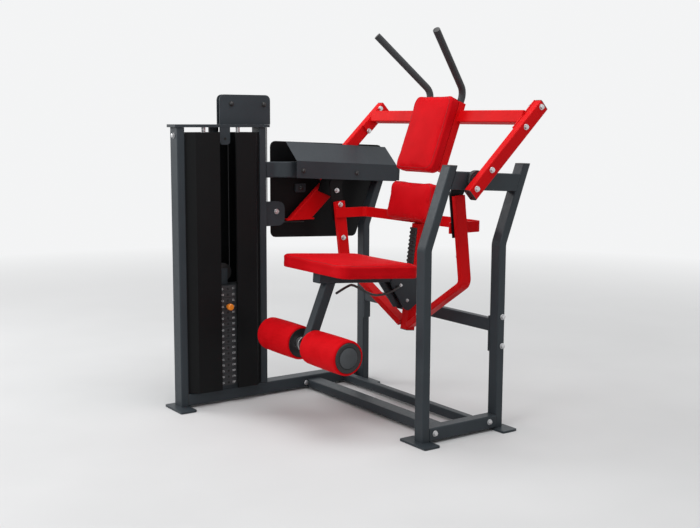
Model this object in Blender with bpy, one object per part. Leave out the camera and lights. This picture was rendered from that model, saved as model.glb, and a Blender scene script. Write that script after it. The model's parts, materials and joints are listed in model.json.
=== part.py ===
"""Seated abdominal crunch machine with a selectorised weight stack.

Metres, +Z up, +X to the sitter's left, the sitter faces -Y.  The working frame has x = 0 in the middle
of the seat, y = 0 on the swing axis and z = 0 on the floor; the whole machine is then centred on the
middle of its footprint.
"""
import math

import bmesh
import bpy
from mathutils import Matrix, Vector

# Clearances
SEAT_GAP = 0.0003            # between pieces that touch
RUN_GAP = 0.0005             # around turning and sliding shafts
SIDE_PLAY = 0.001            # beside swinging plates

# Side frames: bent uprights, top bars and base
FRAME_HALF_GAP = 0.5025      # middle of the seat to the inner face of a side frame
TUBE_WIDE = 0.060            # tube size across the machine
TUBE_DEEP = 0.040            # tube size along the machine
TUBE_ROUND = 0.005           # outside corner radius of the tubes
UPRIGHT_FRONT_Y = -0.254
UPRIGHT_REAR_Y = 0.181
BEND_Z = 0.869               # where the uprights start to lean back
UPRIGHT_TOP_Z = 1.228
UPRIGHT_LEAN = math.radians(20.6)
BEND_RADIUS = 0.070
TOP_BAR_TALL = 0.080
TOP_BAR_TILT = math.radians(3.2)
RIGHT_BAR_FRONT_Y = -0.222
RIGHT_BAR_REAR_Y = 0.395
LINK_THICK = 0.034
BASE_Z = 0.012               # underside of the rails
BASE_BAR_TALL = 0.060
RAIL_TALL = 0.042
FRONT_RAIL_Y = -0.120
FRONT_RAIL_DEEP = 0.080
REAR_RAIL_Y = 0.094
CROSS_BAR_Z = 0.488
CROSS_BAR_TALL = 0.060
CROSS_PLATE_TALL = 0.166
CROSS_PLATE_THICK = 0.008
CROSS_PLATE_DROP = 0.040     # middle of the end plates below the bar
CROSS_BAR_DEEP = 0.036

# Foot plates
FOOT_LONG = 0.186
FOOT_DEEP = 0.086
FOOT_THICK = 0.010
FOOT_ROUND = 0.008
FOOT_SHIFT = 0.012           # side-frame feet reach outwards along the machine
STACK_FOOT_SHIFT_X = 0.028
STACK_FOOT_SHIFT_Y = -0.019

# Swing axis and arms
PIVOT_Z = 1.160
SHAFT_RADIUS = 0.018
SHAFT_COLLAR_RADIUS = 0.030
SHAFT_COLLAR_LONG = 0.010
SHAFT_FLANGE_RADIUS = 0.040
ARM_GAP = 0.0205             # between a top bar and its arm
ARM_THICK = 0.040
ARM_TALL = 0.060
ARM_BELOW = 0.081            # arm length below the swing axis
ARM_ABOVE = 0.487            # arm length above the swing axis
ARM_RISE = math.radians(43.4)

# Upper frame and pad
PAD_LEAN = math.radians(20.5)
PAD_FRONT_Y = 0.146
PAD_FRONT_Z = 1.370
PAD_WIDE = 0.312
PAD_TALL = 0.405
PAD_ROUND = 0.045
PAD_THICK = 0.062
CROSSBAR_ALONG = 0.400       # place of the crossbar along the arms
CROSSBAR_TALL = 0.060
CROSSBAR_DEEP = 0.040
CROSSBAR_BACK = 0.016        # from the pad's back to the crossbar's face
FLANGE_LONG = 0.180
FLANGE_WIDE = 0.060
FLANGE_THICK = 0.008
PAD_RAIL_X = 0.122
PAD_RAIL_SIZE = 0.040
PAD_RAIL_BELOW = 0.172
PAD_RAIL_ABOVE = 0.180
HANDLE_RADIUS = 0.0175
HANDLE_BEND_Z = 1.566
HANDLE_TIP = (0.230, 0.043, 1.836)
HANDLE_BEND_RADIUS = 0.060

# Drive lever
LEVER_TOP = (-0.022, 1.058)
LEVER_FOOT = (-0.186, 0.910)
LEVER_TALL = 0.090
LEVER_FLANGE_LONG = 0.165
LEVER_FLANGE_THICK = 0.008
LEVER_HUB_WIDE = 0.086
LEVER_HUB_THICK = 0.010
LEVER_HUB_START = (0.020, 0.030)    # from the swing axis
LEVER_HUB_END = (-0.020, -0.020)    # from the top of the lever

# Swinging lower hanger
HANGER_PLATE_THICK = 0.008
HANGER_PLATE_WIDE = 0.070
HANGER_PLATE_LOW_Z = 0.905
HANGER_BAR_THICK = 0.030
HANGER_BAR_WIDE = 0.060
HANGER_TOP = (-0.027, 1.092)
HANGER_RIGHT_TOP_Z = 1.002   # the right bar starts lower on its plate
HANGER_BEND = (0.020, 0.690)
HANGER_BEND_RADIUS = 0.050
HANGER_EAR = 0.034           # plate above and below the swing axis
HUB_Y = 0.070
HUB_Z = 0.424
HUB_HALF = 0.036             # half length of the joint where the legs meet the post
STRAP_THICK = 0.010
STRAP_TALL = 0.050
STRAP_Z = 0.945
STRAP_FRONT_Y = -0.052
STRAP_BACK_Y = 0.137
STRAP_BEND_RADIUS = 0.030
STRAP_BOSS = 0.0145          # boss between the strap and the lumbar plate
POST_LEAN = math.radians(7.4)
POST_WIDE = 0.056
POST_DEEP = 0.050
POST_FOOT_Y = 0.072
POST_FOOT_Z = 0.395
POST_LONG = 0.528
RACK_WIDE = 0.044
RACK_THICK = 0.012
RACK_LONG = 0.260
RACK_TOP_GAP = 0.022
RACK_TEETH = 13
RACK_TOOTH_DEEP = 0.005
TOOTH_SHAPE = ((0.0, 0), (0.5, 0), (0.6, 1), (0.95, 1))    # share of a step, in the gap or not
LUMBAR_LEAN = math.radians(12.0)
LUMBAR_FRONT_Y = 0.058
LUMBAR_FRONT_Z = 1.036
LUMBAR_WIDE = 0.350
LUMBAR_TALL = 0.208
LUMBAR_THICK = 0.075
LUMBAR_PLATE_WIDE = 0.160
LUMBAR_PLATE_THICK = 0.008
LUMBAR_PLATE_LOW_IN = 0.012  # plate ends in from the pad's edges
LUMBAR_PLATE_TOP_IN = 0.030

# Sliding seat
SEAT_TILT = math.radians(4.0)
SEAT_WIDE = 0.550
SEAT_LONG = 0.465
SEAT_THICK = 0.072
SEAT_ROUND = 0.050
SEAT_FRONT_Y = -0.512
SEAT_FRONT_Z = 0.760         # middle of the pad's thickness at its front edge
SEAT_TUBE_WIDE = 0.060
SEAT_TUBE_TALL = 0.048
SEAT_TUBE_FRONT_Y = -0.462
SEAT_TUBE_REAR_Y = 0.035
CARRIAGE_THICK = 0.008
CARRIAGE_TOP_FRONT = (-0.085, 0.672)
CARRIAGE_TOP_REAR = (0.140, 0.668)
CARRIAGE_LOW_REAR = (0.128, 0.545)
CARRIAGE_LOW = (0.040, 0.485)
CARRIAGE_ROUND = 0.030
LATCH_TOP = (-0.100, 0.664)
LATCH_LOW = (-0.002, 0.524)
LATCH_RADIUS = 0.017
SEAT_LEVER_RADIUS = 0.006
SEAT_LEVER_PIVOT = (0.048, -0.020, 0.620)
SEAT_LEVER_KNOTS = ((0.062, -0.055, 0.611), (0.068, -0.118, 0.598), (0.090, -0.210, 0.606),
                    (0.140, -0.350, 0.668), (0.165, -0.405, 0.672), (0.185, -0.480, 0.650))
ROLLER_ARM_SIZE = 0.050
ROLLER_ARM_TOP_Y = -0.394
AXLE_Y = -0.516
AXLE_Z = 0.383
AXLE_RADIUS = 0.014
ROLLER_RADIUS = 0.080
ROLLER_INNER_X = 0.030
ROLLER_LONG = 0.306
ROLLER_EDGE = 0.012

# Weight stack tower
STACK_X = -0.603             # middle plane of the stack, pulleys and cable
STACK_TUBE_WIDE = 0.080
STACK_FRONT_Y = -0.875
STACK_REAR_Y = -0.423
STACK_TOP_Z = 1.386
TOP_PLATE_THICK = 0.014
TOP_PLATE_FRONT_Y = -0.908
TOP_PLATE_REAR_Y = -0.386
TOP_PLATE_WIDE = 0.092
CABLE_PORT = (0.024, 0.030)  # opening in the top plate
ANCHOR_TAB = (0.012, 0.050, 0.050)
ANCHOR_TAB_DROP = 0.020      # middle of the tab below the top plate
WEIGHT_Y = -0.640            # middle of the stack along the machine
WEIGHT_LOW_Z = 0.092
WEIGHT_WIDE = 0.110
WEIGHT_LONG = 0.300
WEIGHT_PITCH = 0.030
WEIGHT_GROOVE = 0.002
WEIGHT_EDGE = 0.006
WEIGHTS_RESTING = 13
WEIGHTS_LIFTED = 4
BUFFER_LONG = 0.300
BUFFER_WIDE = 0.074
GUIDE_SPACING = 0.190
GUIDE_RADIUS = 0.0105
STEM_RADIUS = 0.012
STEM_UP = 0.008              # stem above the top weight
STEM_LOW_GAP = 0.002
PIN_RADIUS = 0.005
PIN_IN = 0.03375             # pin inside the weight
PIN_STAND = 0.004            # knob clear of the weight's face
PIN_HOLE_GAP = 0.004         # hole clear of the stem
KNOB_RADIUS = 0.016
KNOB_LONG = 0.034
SHROUD_THICK = 0.0015
SHROUD_LOW_Z = 0.076
SHROUD_TOP_DROP = 0.024      # below the top of the uprights
SHROUD_OUT = 0.075           # how far the sheets stand out from the middle plane
SHROUD_CHAMFER = 0.040
SHROUD_TAB = 0.008
SHROUD_SLOT = 0.092
SHROUD_LIP = 0.012

# Cable and pulleys
CABLE_RADIUS = 0.0025
CABLE_END_GAP = 0.0008
PULLEY_RADIUS = 0.050        # to the middle of the cable
PULLEY_RIM = 0.006
PULLEY_WIDE = 0.020
PULLEY_BORE = 0.009
PULLEY_LIP = 0.002
AXLE_BITE = 0.002            # how far an axle runs into its plates
TOP_PULLEY_RISE = 0.089      # above the top of the uprights
TOP_PULLEY_FRONT_Y = -0.550
TOP_PULLEY_REAR_Y = -0.428
COVER_FRONT_Y = -0.653
COVER_REAR_Y = -0.366
COVER_TALL = 0.146
COVER_THICK = 0.005
COVER_ROUND = 0.026
EAR_PULLEY_Y = -0.333
EAR_PULLEY_Z = 0.945
EAR_PULLEY_RADIUS = 0.045
EAR_TALL = 0.124
EAR_REACH = 0.120
EAR_THICK = 0.006
EAR_WALL = 0.006
EAR_ROUND = 0.035
EAR_BITE = 0.002
LEVER_CABLE_END = (0.030, -0.006)   # from the lever's foot and the cable's level
HEAD_PULLEY_RADIUS = 0.040
HEAD_PULLEY_RISE = 0.062     # pulley axis above the top weight
YOKE_THICK = 0.006
YOKE_WIDE = 0.040
YOKE_BASE_THICK = 0.010
YOKE_UP = 0.020              # plates above the pulley axis

# Covers over the drive
HOOD_THICK = 0.0025
HOOD_FACE_TALL = 0.087
HOOD_FRONT_Y = -0.280
HOOD_REAR_Y = 0.352
HOOD_RISE = 0.094
HOOD_BOLT_Y = (-0.190, 0.160)
HOOD_DEEP = 0.106
HOOD_FACE_X = -0.4705        # clear of the swinging plate behind it
SHIELD_X = -0.642
SHIELD_THICK = 0.003
SHIELD_FRONT_Y = -0.335
SHIELD_ABOVE = 0.157         # sheet above and below the swing axis
SHIELD_BELOW = 0.354
SHIELD_REAR_LOW_Y = 0.200
SHIELD_SKEW = 0.012          # drop of the lower edge to the rear
SHIELD_TOP_DROP = 0.030
SHIELD_ROUND = 0.030
SHIELD_SPACER_IN = 0.085     # spacers in from the sheet's front and rear edges
SPACER_RADIUS = 0.012

# Derived values
TUBE_MID_X = FRAME_HALF_GAP + TUBE_WIDE / 2
ARM_MID_X = FRAME_HALF_GAP + TUBE_WIDE + ARM_GAP + ARM_THICK / 2
ARM_U = Vector((0.0, math.cos(ARM_RISE), math.sin(ARM_RISE)))
LEAN_RUN = math.tan(UPRIGHT_LEAN)
WEIGHT_SPLIT_Z = WEIGHT_LOW_Z + WEIGHTS_RESTING * WEIGHT_PITCH
WEIGHT_TOP_Z = WEIGHT_SPLIT_Z + WEIGHTS_LIFTED * WEIGHT_PITCH
HEAD_PULLEY_Z = WEIGHT_TOP_Z + HEAD_PULLEY_RISE
PIN_Z = WEIGHT_SPLIT_Z + WEIGHT_PITCH / 2
STACK_FACE_X = STACK_X + WEIGHT_WIDE / 2
BASE_TOP_Z = BASE_Z + BASE_BAR_TALL
SHROUD_TOP_Z = STACK_TOP_Z - SHROUD_TOP_DROP
TOP_PULLEY_Z = STACK_TOP_Z + TOP_PULLEY_RISE
POST_U = Vector((0.0, math.sin(POST_LEAN), math.cos(POST_LEAN)))


# Scene and materials

for old in list(bpy.data.objects):
    bpy.data.objects.remove(old, do_unlink=True)

FINISHES = {
    "grey_paint": ((0.085, 0.098, 0.108), 0.45, 0.2),
    "red_paint": ((0.70, 0.018, 0.022), 0.38, 0.0),
    "red_vinyl": ((0.66, 0.012, 0.025), 0.55, 0.0),
    "red_foam": ((0.68, 0.016, 0.026), 0.65, 0.0),
    "black_sheet": ((0.012, 0.012, 0.013), 0.45, 0.0),
    "black_plastic": ((0.016, 0.016, 0.017), 0.5, 0.0),
    "black_grip": ((0.030, 0.032, 0.034), 0.7, 0.0),
    "zinc": ((0.62, 0.63, 0.64), 0.32, 1.0),
    "cable": ((0.05, 0.05, 0.052), 0.4, 0.3),
    "iron": ((0.020, 0.021, 0.023), 0.5, 0.2),
    "orange_knob": ((0.85, 0.22, 0.02), 0.35, 0.0),
}


def finish(kind):
    """The Principled material of one finish, made once."""
    if kind in bpy.data.materials:
        return bpy.data.materials[kind]
    colour, rough, metal = FINISHES[kind]
    material = bpy.data.materials.new(kind)
    material.use_nodes = True
    shader = material.node_tree.nodes["Principled BSDF"]
    shader.inputs["Base Color"].default_value = (*colour, 1.0)
    shader.inputs["Roughness"].default_value = rough
    shader.inputs["Metallic"].default_value = metal
    return material


def group(name, place=(0.0, 0.0, 0.0), parent=None):
    """An empty that carries pieces; place is in the machine's working frame."""
    empty = bpy.data.objects.new(name, None)
    bpy.context.collection.objects.link(empty)
    empty["place"] = tuple(place)
    empty.parent = parent
    carrier = Vector(parent["place"]) if parent else Vector()
    empty.location = Vector(place) - carrier
    return empty


def piece(name, bm, kind, carrier, cutter=False):
    """One object from a bmesh in the working frame, with its origin on its carrier."""
    bmesh.ops.remove_doubles(bm, verts=bm.verts, dist=0.000001)
    bmesh.ops.recalc_face_normals(bm, faces=bm.faces)
    bmesh.ops.translate(bm, verts=bm.verts, vec=-Vector(carrier["place"]))
    mesh = bpy.data.meshes.new(name)
    bm.to_mesh(mesh)
    bm.free()
    mesh.materials.append(finish(kind))
    mesh.shade_smooth()
    mesh.set_sharp_from_angle(angle=math.radians(35))
    made = bpy.data.objects.new(name, mesh)
    bpy.context.collection.objects.link(made)
    made.parent = carrier
    if cutter:
        made.hide_render = True
        made.display_type = "WIRE"
    return made


def combine(target, tool_bm, operation, carrier):
    """Join or cut the target with a hidden tool shape."""
    number = len(target.modifiers)
    tool = piece(f"{target.name}_tool_{number}", tool_bm, "zinc", carrier, cutter=True)
    modifier = target.modifiers.new(f"{operation.lower()}_{number}", "BOOLEAN")
    modifier.operation = operation
    modifier.object = tool


# Shape helpers

def loft(rings, closed=False):
    """Skin rings of equal length; the ends are capped unless the rings close on themselves."""
    bm = bmesh.new()
    loops = [[bm.verts.new(point) for point in ring] for ring in rings]
    pairs = list(zip(loops, loops[1:]))
    if closed:
        pairs.append((loops[-1], loops[0]))
    else:
        bm.faces.new(loops[0])
        bm.faces.new(loops[-1])
    for lower, upper in pairs:
        for i in range(len(lower)):
            j = (i + 1) % len(lower)
            bm.faces.new((lower[i], lower[j], upper[j], upper[i]))
    return bm


def rounded(corners, radius, steps=4, closed=True):
    """Replace each corner of an outline or path by an arc of the given radius."""
    corners = [Vector(c) for c in corners]
    result = []
    for i, corner in enumerate(corners):
        if not closed and i in (0, len(corners) - 1):
            result.append(corner)
            continue
        to_last = (corners[i - 1] - corner).normalized()
        to_next = (corners[(i + 1) % len(corners)] - corner).normalized()
        half = to_last.angle(to_next) / 2
        centre = corner + (to_last + to_next).normalized() * (radius / math.sin(half))
        first = (corner + to_last * (radius / math.tan(half)) - centre).normalized()
        last = (corner + to_next * (radius / math.tan(half)) - centre).normalized()
        result += [centre + first.slerp(last, s / steps) * radius for s in range(steps + 1)]
    return result


def rectangle(wide, tall, radius=0.0, steps=2):
    """A rectangle about the origin, with rounded corners where radius is given."""
    corners = [(-wide / 2, -tall / 2), (wide / 2, -tall / 2), (wide / 2, tall / 2), (-wide / 2, tall / 2)]
    return rounded(corners, radius, steps) if radius else [Vector(c) for c in corners]


def sweep(path, side, section):
    """Carry a flat section along a path with mitred corners; side is the section's first direction."""
    path = [Vector(p) for p in path]
    side = Vector(side)
    rings = []
    for i, point in enumerate(path):
        before = (point - path[i - 1]).normalized() if i else (path[1] - point).normalized()
        after = (path[i + 1] - point).normalized() if i + 1 < len(path) else before
        along = (before + after).normalized()
        across = (side - side.dot(along) * along).normalized()
        up = along.cross(across)
        turn = after - before
        stretch = 1 / max(before.dot(along), 0.2) - 1
        ring = []
        for u, v in section:
            offset = across * u + up * v
            if turn.length > 0.000001:
                bend = turn.normalized()
                offset = offset + bend * offset.dot(bend) * stretch
            ring.append(point + offset)
        rings.append(ring)
    return loft(rings)


def prism(outline, axis, low, high):
    """Extrude an outline along X, Y or Z; its points give the other two coordinates in order."""
    def lift(point, level):
        a, b = point
        return {"X": (level, a, b), "Y": (a, level, b), "Z": (a, b, level)}[axis]
    return loft([[lift(p, low) for p in outline], [lift(p, high) for p in outline]])


def block(centre, size, radius=0.0, axis="Z"):
    """A box with its four edges along one axis rounded."""
    order = {"X": (1, 2, 0), "Y": (0, 2, 1), "Z": (0, 1, 2)}[axis]
    a, b, c = order
    outline = [(p.x + centre[a], p.y + centre[b]) for p in rectangle(size[a], size[b], radius)]
    return prism(outline, axis, centre[c] - size[c] / 2, centre[c] + size[c] / 2)


def turned(profile, start, direction, steps=24, bored=False):
    """Turn a profile of (distance, radius) about an axis from start."""
    turn = Vector((0, 0, 1)).rotation_difference(Vector(direction)).to_matrix()
    rings = []
    for along, radius in profile:
        angles = [2 * math.pi * s / steps for s in range(steps)]
        flat = [Vector((radius * math.cos(a), radius * math.sin(a), along)) for a in angles]
        rings.append([Vector(start) + turn @ p for p in flat])
    return loft(rings, closed=bored)


def rod(start, end, radius, steps=16):
    """A plain round bar between two points."""
    start = Vector(start)
    run = Vector(end) - start
    return turned([(0.0, radius), (run.length, radius)], start, run.normalized(), steps)


def trim(bm, point, outward):
    """Cut a closed shape flat and cap it."""
    geometry = bm.verts[:] + bm.edges[:] + bm.faces[:]
    cut = bmesh.ops.bisect_plane(bm, geom=geometry, plane_co=point, plane_no=outward, clear_outer=True)
    edges = [e for e in cut["geom_cut"] if isinstance(e, bmesh.types.BMEdge)]
    bmesh.ops.holes_fill(bm, edges=edges)
    return bm


def cushion(wide, long, thick, corner, matrix, crown=0.010, draw=0.004):
    """A padded form: flat back at z = 0, drawn-in sides and a crowned front at z = thick."""
    levels = [(0.0, 0.006), (0.010, 0.0015), (thick * 0.45, 0.003), (thick * 0.72, 0.0)]
    edge = 0.016
    levels += [(thick - crown - edge * (1 - math.sin(a)), edge * (1 - math.cos(a)))
               for a in (math.radians(d) for d in (30, 60, 90))]
    base_z = thick - crown
    reach = min(wide, long) / 2 - edge - 0.012
    levels += [(base_z + crown * (1 - (1 - s) ** 2), edge + reach * s) for s in (0.15, 0.35, 0.6, 1.0)]
    rings = []
    for z, inset in levels:
        ring = []
        half_w = wide / 2 - inset
        half_l = long / 2 - inset
        for p in rectangle(2 * half_w, 2 * half_l, max(corner - inset, 0.010), steps=5):
            bow_x = draw * max(0.0, 1 - (p.y / half_l) ** 2) * (abs(p.x) > half_w * 0.98)
            bow_y = draw * max(0.0, 1 - (p.x / half_w) ** 2) * (abs(p.y) > half_l * 0.98)
            x = p.x - math.copysign(bow_x, p.x)
            y = p.y - math.copysign(bow_y, p.y)
            ring.append(matrix @ Vector((x, y, z)))
        rings.append(ring)
    return loft(rings)


def cable(name, points, radius, kind, carrier):
    """A round cable along given points, with capped ends."""
    shift = -Vector(carrier["place"])
    curve = bpy.data.curves.new(name, "CURVE")
    curve.dimensions = "3D"
    curve.bevel_depth = radius
    curve.bevel_resolution = 2
    curve.use_fill_caps = True
    spline = curve.splines.new("POLY")
    spline.points.add(len(points) - 1)
    for slot, point in zip(spline.points, points):
        slot.co = (*(Vector(point) + shift), 1.0)
    curve.materials.append(finish(kind))
    made = bpy.data.objects.new(name, curve)
    bpy.context.collection.objects.link(made)
    made.parent = carrier
    return made


def smooth_route(knots, per_span):
    """Points of a smooth curve through the knots."""
    knots = [Vector(k) for k in knots]
    ends = [knots[0] * 2 - knots[1]] + knots + [knots[-1] * 2 - knots[-2]]
    points = []
    for a, b, c, d in zip(ends, ends[1:], ends[2:], ends[3:]):
        for s in range(per_span):
            t = s / per_span
            points.append(0.5 * (2 * b + (c - a) * t + (2 * a - 5 * b + 4 * c - d) * t ** 2
                                 + (3 * b - a - 3 * c + d) * t ** 3))
    return points + [knots[-1]]


machine = group("machine")
arm_axis = group("arm_axis", (0.0, 0.0, PIVOT_Z), machine)
hanger_axis = group("hanger_axis", (0.0, 0.0, PIVOT_Z), machine)
seat_slide = group("seat_slide", (0.0, POST_FOOT_Y, POST_FOOT_Z), hanger_axis)
seat_lever_axis = group("seat_lever_axis", SEAT_LEVER_PIVOT, seat_slide)
roller_axis = group("roller_axis", (0.0, AXLE_Y, AXLE_Z), seat_slide)
stack_lift = group("stack_lift", (STACK_X, WEIGHT_Y, WEIGHT_SPLIT_Z), machine)
head_axis = group("head_axis", (STACK_X, WEIGHT_Y, HEAD_PULLEY_Z), stack_lift)
pin_slide = group("pin_slide", (STACK_FACE_X, WEIGHT_Y, PIN_Z), stack_lift)

TUBE = rectangle(TUBE_WIDE, TUBE_DEEP, TUBE_ROUND)
X_SIDE = (1, 0, 0)
SIDES = {"left": 1, "right": -1}


def bar_z(y):
    """Height of the top bars' middle line."""
    return PIVOT_Z - y * math.tan(TOP_BAR_TILT)


def lean_y(y, z):
    """Place of an upright's middle line at a height above its bend."""
    return y + (z - BEND_Z) * LEAN_RUN


def foot(x, y):
    outline = [(p.x + x, p.y + y) for p in rectangle(FOOT_LONG, FOOT_DEEP, FOOT_ROUND)]
    return prism(outline, "Z", 0.0, FOOT_THICK)


def bent_upright(name, x, y, foot_y, top_z):
    path = [(x, y, FOOT_THICK / 2), (x, y, BEND_Z), (x, lean_y(y, top_z), top_z)]
    bm = sweep(rounded(path, BEND_RADIUS, 4, closed=False), X_SIDE, TUBE)
    upright = piece(name, trim(bm, (0, 0, UPRIGHT_TOP_Z), (0, 0, 1)), "grey_paint", machine)
    combine(upright, foot(x, foot_y), "UNION", machine)
    return upright


def side_frames():
    bent_upright("left_front_upright", TUBE_MID_X, UPRIGHT_FRONT_Y,
                 UPRIGHT_FRONT_Y - FOOT_SHIFT, UPRIGHT_TOP_Z + TUBE_DEEP)
    bent_upright("left_rear_upright", TUBE_MID_X, UPRIGHT_REAR_Y,
                 UPRIGHT_REAR_Y + FOOT_SHIFT, UPRIGHT_TOP_Z + TUBE_DEEP)
    right = bent_upright("right_rear_upright", -TUBE_MID_X, UPRIGHT_REAR_Y,
                         UPRIGHT_REAR_Y + FOOT_SHIFT, UPRIGHT_TOP_Z + TUBE_DEEP)
    slope = Vector((0, math.cos(TOP_BAR_TILT), -math.sin(TOP_BAR_TILT)))
    normal = Vector((0, math.sin(TOP_BAR_TILT), math.cos(TOP_BAR_TILT)))
    under = Vector((0, 0, PIVOT_Z)) - normal * (TOP_BAR_TALL / 2 + SEAT_GAP)
    bm = bmesh.new()
    bm.from_mesh(right.data)
    trim(bm, under, normal)
    bm.to_mesh(right.data)
    bm.free()
    section = rectangle(TUBE_WIDE, TOP_BAR_TALL, TUBE_ROUND)
    lean = Vector((0, math.cos(UPRIGHT_LEAN), -math.sin(UPRIGHT_LEAN)))
    reach = TUBE_DEEP / 2 + SEAT_GAP
    ends = []
    for y, way in ((UPRIGHT_FRONT_Y, 1), (UPRIGHT_REAR_Y, -1)):
        ends.append((Vector((0, lean_y(y, PIVOT_Z), PIVOT_Z)) + lean * reach * way, -lean * way))
    for name, x in (("left_top_bar", TUBE_MID_X), ("right_top_bar", -TUBE_MID_X)):
        path = [Vector((x, y, bar_z(y))) for y in (RIGHT_BAR_FRONT_Y - TUBE_DEEP, RIGHT_BAR_REAR_Y)]
        bm = sweep(path, X_SIDE, section)
        if x > 0:
            for point, outward in ends:
                trim(bm, point, outward)
        trim(bm, (0, RIGHT_BAR_FRONT_Y, 0), (0, -1, 0))
        bar = piece(name, bm, "grey_paint", machine)
        bore = rod((x - TUBE_WIDE, 0, PIVOT_Z), (x + TUBE_WIDE, 0, PIVOT_Z), SHAFT_RADIUS + RUN_GAP)
        combine(bar, bore, "DIFFERENCE", machine)
    link_x = STACK_X + (STACK_TUBE_WIDE - LINK_THICK) / 2
    link = [(link_x, STACK_REAR_Y + TUBE_DEEP / 2 + SEAT_GAP), (link_x, -0.345), (-TUBE_MID_X, -0.290),
            (-TUBE_MID_X, RIGHT_BAR_FRONT_Y - SEAT_GAP)]
    level = bar_z(RIGHT_BAR_FRONT_Y)
    path = rounded([(a, b, level) for a, b in link], 0.045, 5, closed=False)
    piece("stack_link", sweep(path, (0, 0, 1), rectangle(TOP_BAR_TALL, LINK_THICK, TUBE_ROUND)),
          "grey_paint", machine)


def base():
    inner = STACK_X + STACK_TUBE_WIDE / 2
    front = STACK_FRONT_Y + TUBE_DEEP / 2 + SEAT_GAP
    rear = UPRIGHT_REAR_Y + FOOT_DEEP / 2
    size = (STACK_TUBE_WIDE, rear - front, BASE_BAR_TALL)
    base_bar = block((STACK_X, (front + rear) / 2, BASE_Z + BASE_BAR_TALL / 2), size, TUBE_ROUND, "Y")
    base_bar = piece("base_bar", base_bar, "grey_paint", machine)
    buffer = ((STACK_X, WEIGHT_Y, (BASE_Z + BASE_BAR_TALL / 2 + WEIGHT_LOW_Z - SEAT_GAP) / 2),
              (BUFFER_WIDE, BUFFER_LONG, WEIGHT_LOW_Z - SEAT_GAP - BASE_Z - BASE_BAR_TALL / 2), TUBE_ROUND)
    combine(base_bar, block(*buffer), "UNION", machine)
    left = FRAME_HALF_GAP
    low = inner + SEAT_GAP
    rails = (("front_rail", FRONT_RAIL_Y, FRONT_RAIL_DEEP), ("rear_rail", REAR_RAIL_Y, TUBE_DEEP))
    for name, y, deep in rails:
        middle = ((left - SEAT_GAP + low) / 2, y, BASE_Z + RAIL_TALL / 2)
        rail = block(middle, (left - SEAT_GAP - low, deep, RAIL_TALL), TUBE_ROUND, "X")
        piece(name, rail, "grey_paint", machine)
    y0 = UPRIGHT_FRONT_Y + TUBE_DEEP / 2 + SEAT_GAP
    y1 = UPRIGHT_REAR_Y - TUBE_DEEP / 2 - SEAT_GAP
    middle = (TUBE_MID_X, (y0 + y1) / 2, BASE_Z + BASE_BAR_TALL / 2)
    piece("left_base_bar", block(middle, (TUBE_WIDE, y1 - y0, BASE_BAR_TALL), TUBE_ROUND, "Y"),
          "grey_paint", machine)
    half = FRAME_HALF_GAP - SEAT_GAP
    span = 2 * (half - CROSS_PLATE_THICK / 2)
    size = (span, CROSS_BAR_DEEP, CROSS_BAR_TALL)
    bar = block((0, UPRIGHT_REAR_Y, CROSS_BAR_Z), size, TUBE_ROUND, "X")
    bar = piece("rear_cross_bar", bar, "grey_paint", machine)
    size = (CROSS_PLATE_THICK, TUBE_DEEP, CROSS_PLATE_TALL)
    for side in SIDES.values():
        x = side * (half - CROSS_PLATE_THICK / 2)
        plate = block((x, UPRIGHT_REAR_Y, CROSS_BAR_Z - CROSS_PLATE_DROP), size)
        combine(bar, plate, "UNION", machine)


def pulley(name, radius, place, carrier):
    groove = radius - CABLE_RADIUS - SEAT_GAP
    rim = radius + PULLEY_RIM
    half = PULLEY_WIDE / 2
    slot = CABLE_RADIUS + RUN_GAP
    profile = [(-half, PULLEY_BORE), (-half, rim), (-slot - PULLEY_LIP, rim), (-slot, groove),
               (slot, groove), (slot + PULLEY_LIP, rim), (half, rim), (half, PULLEY_BORE)]
    piece(name, turned(profile, place, X_SIDE, 24, bored=True), "black_plastic", carrier)


def pulley_axle(half, y, z):
    """A pulley's axle, run into the plates on both sides."""
    reach = half + AXLE_BITE
    return rod((STACK_X - reach, y, z), (STACK_X + reach, y, z), PULLEY_BORE - RUN_GAP)


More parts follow.
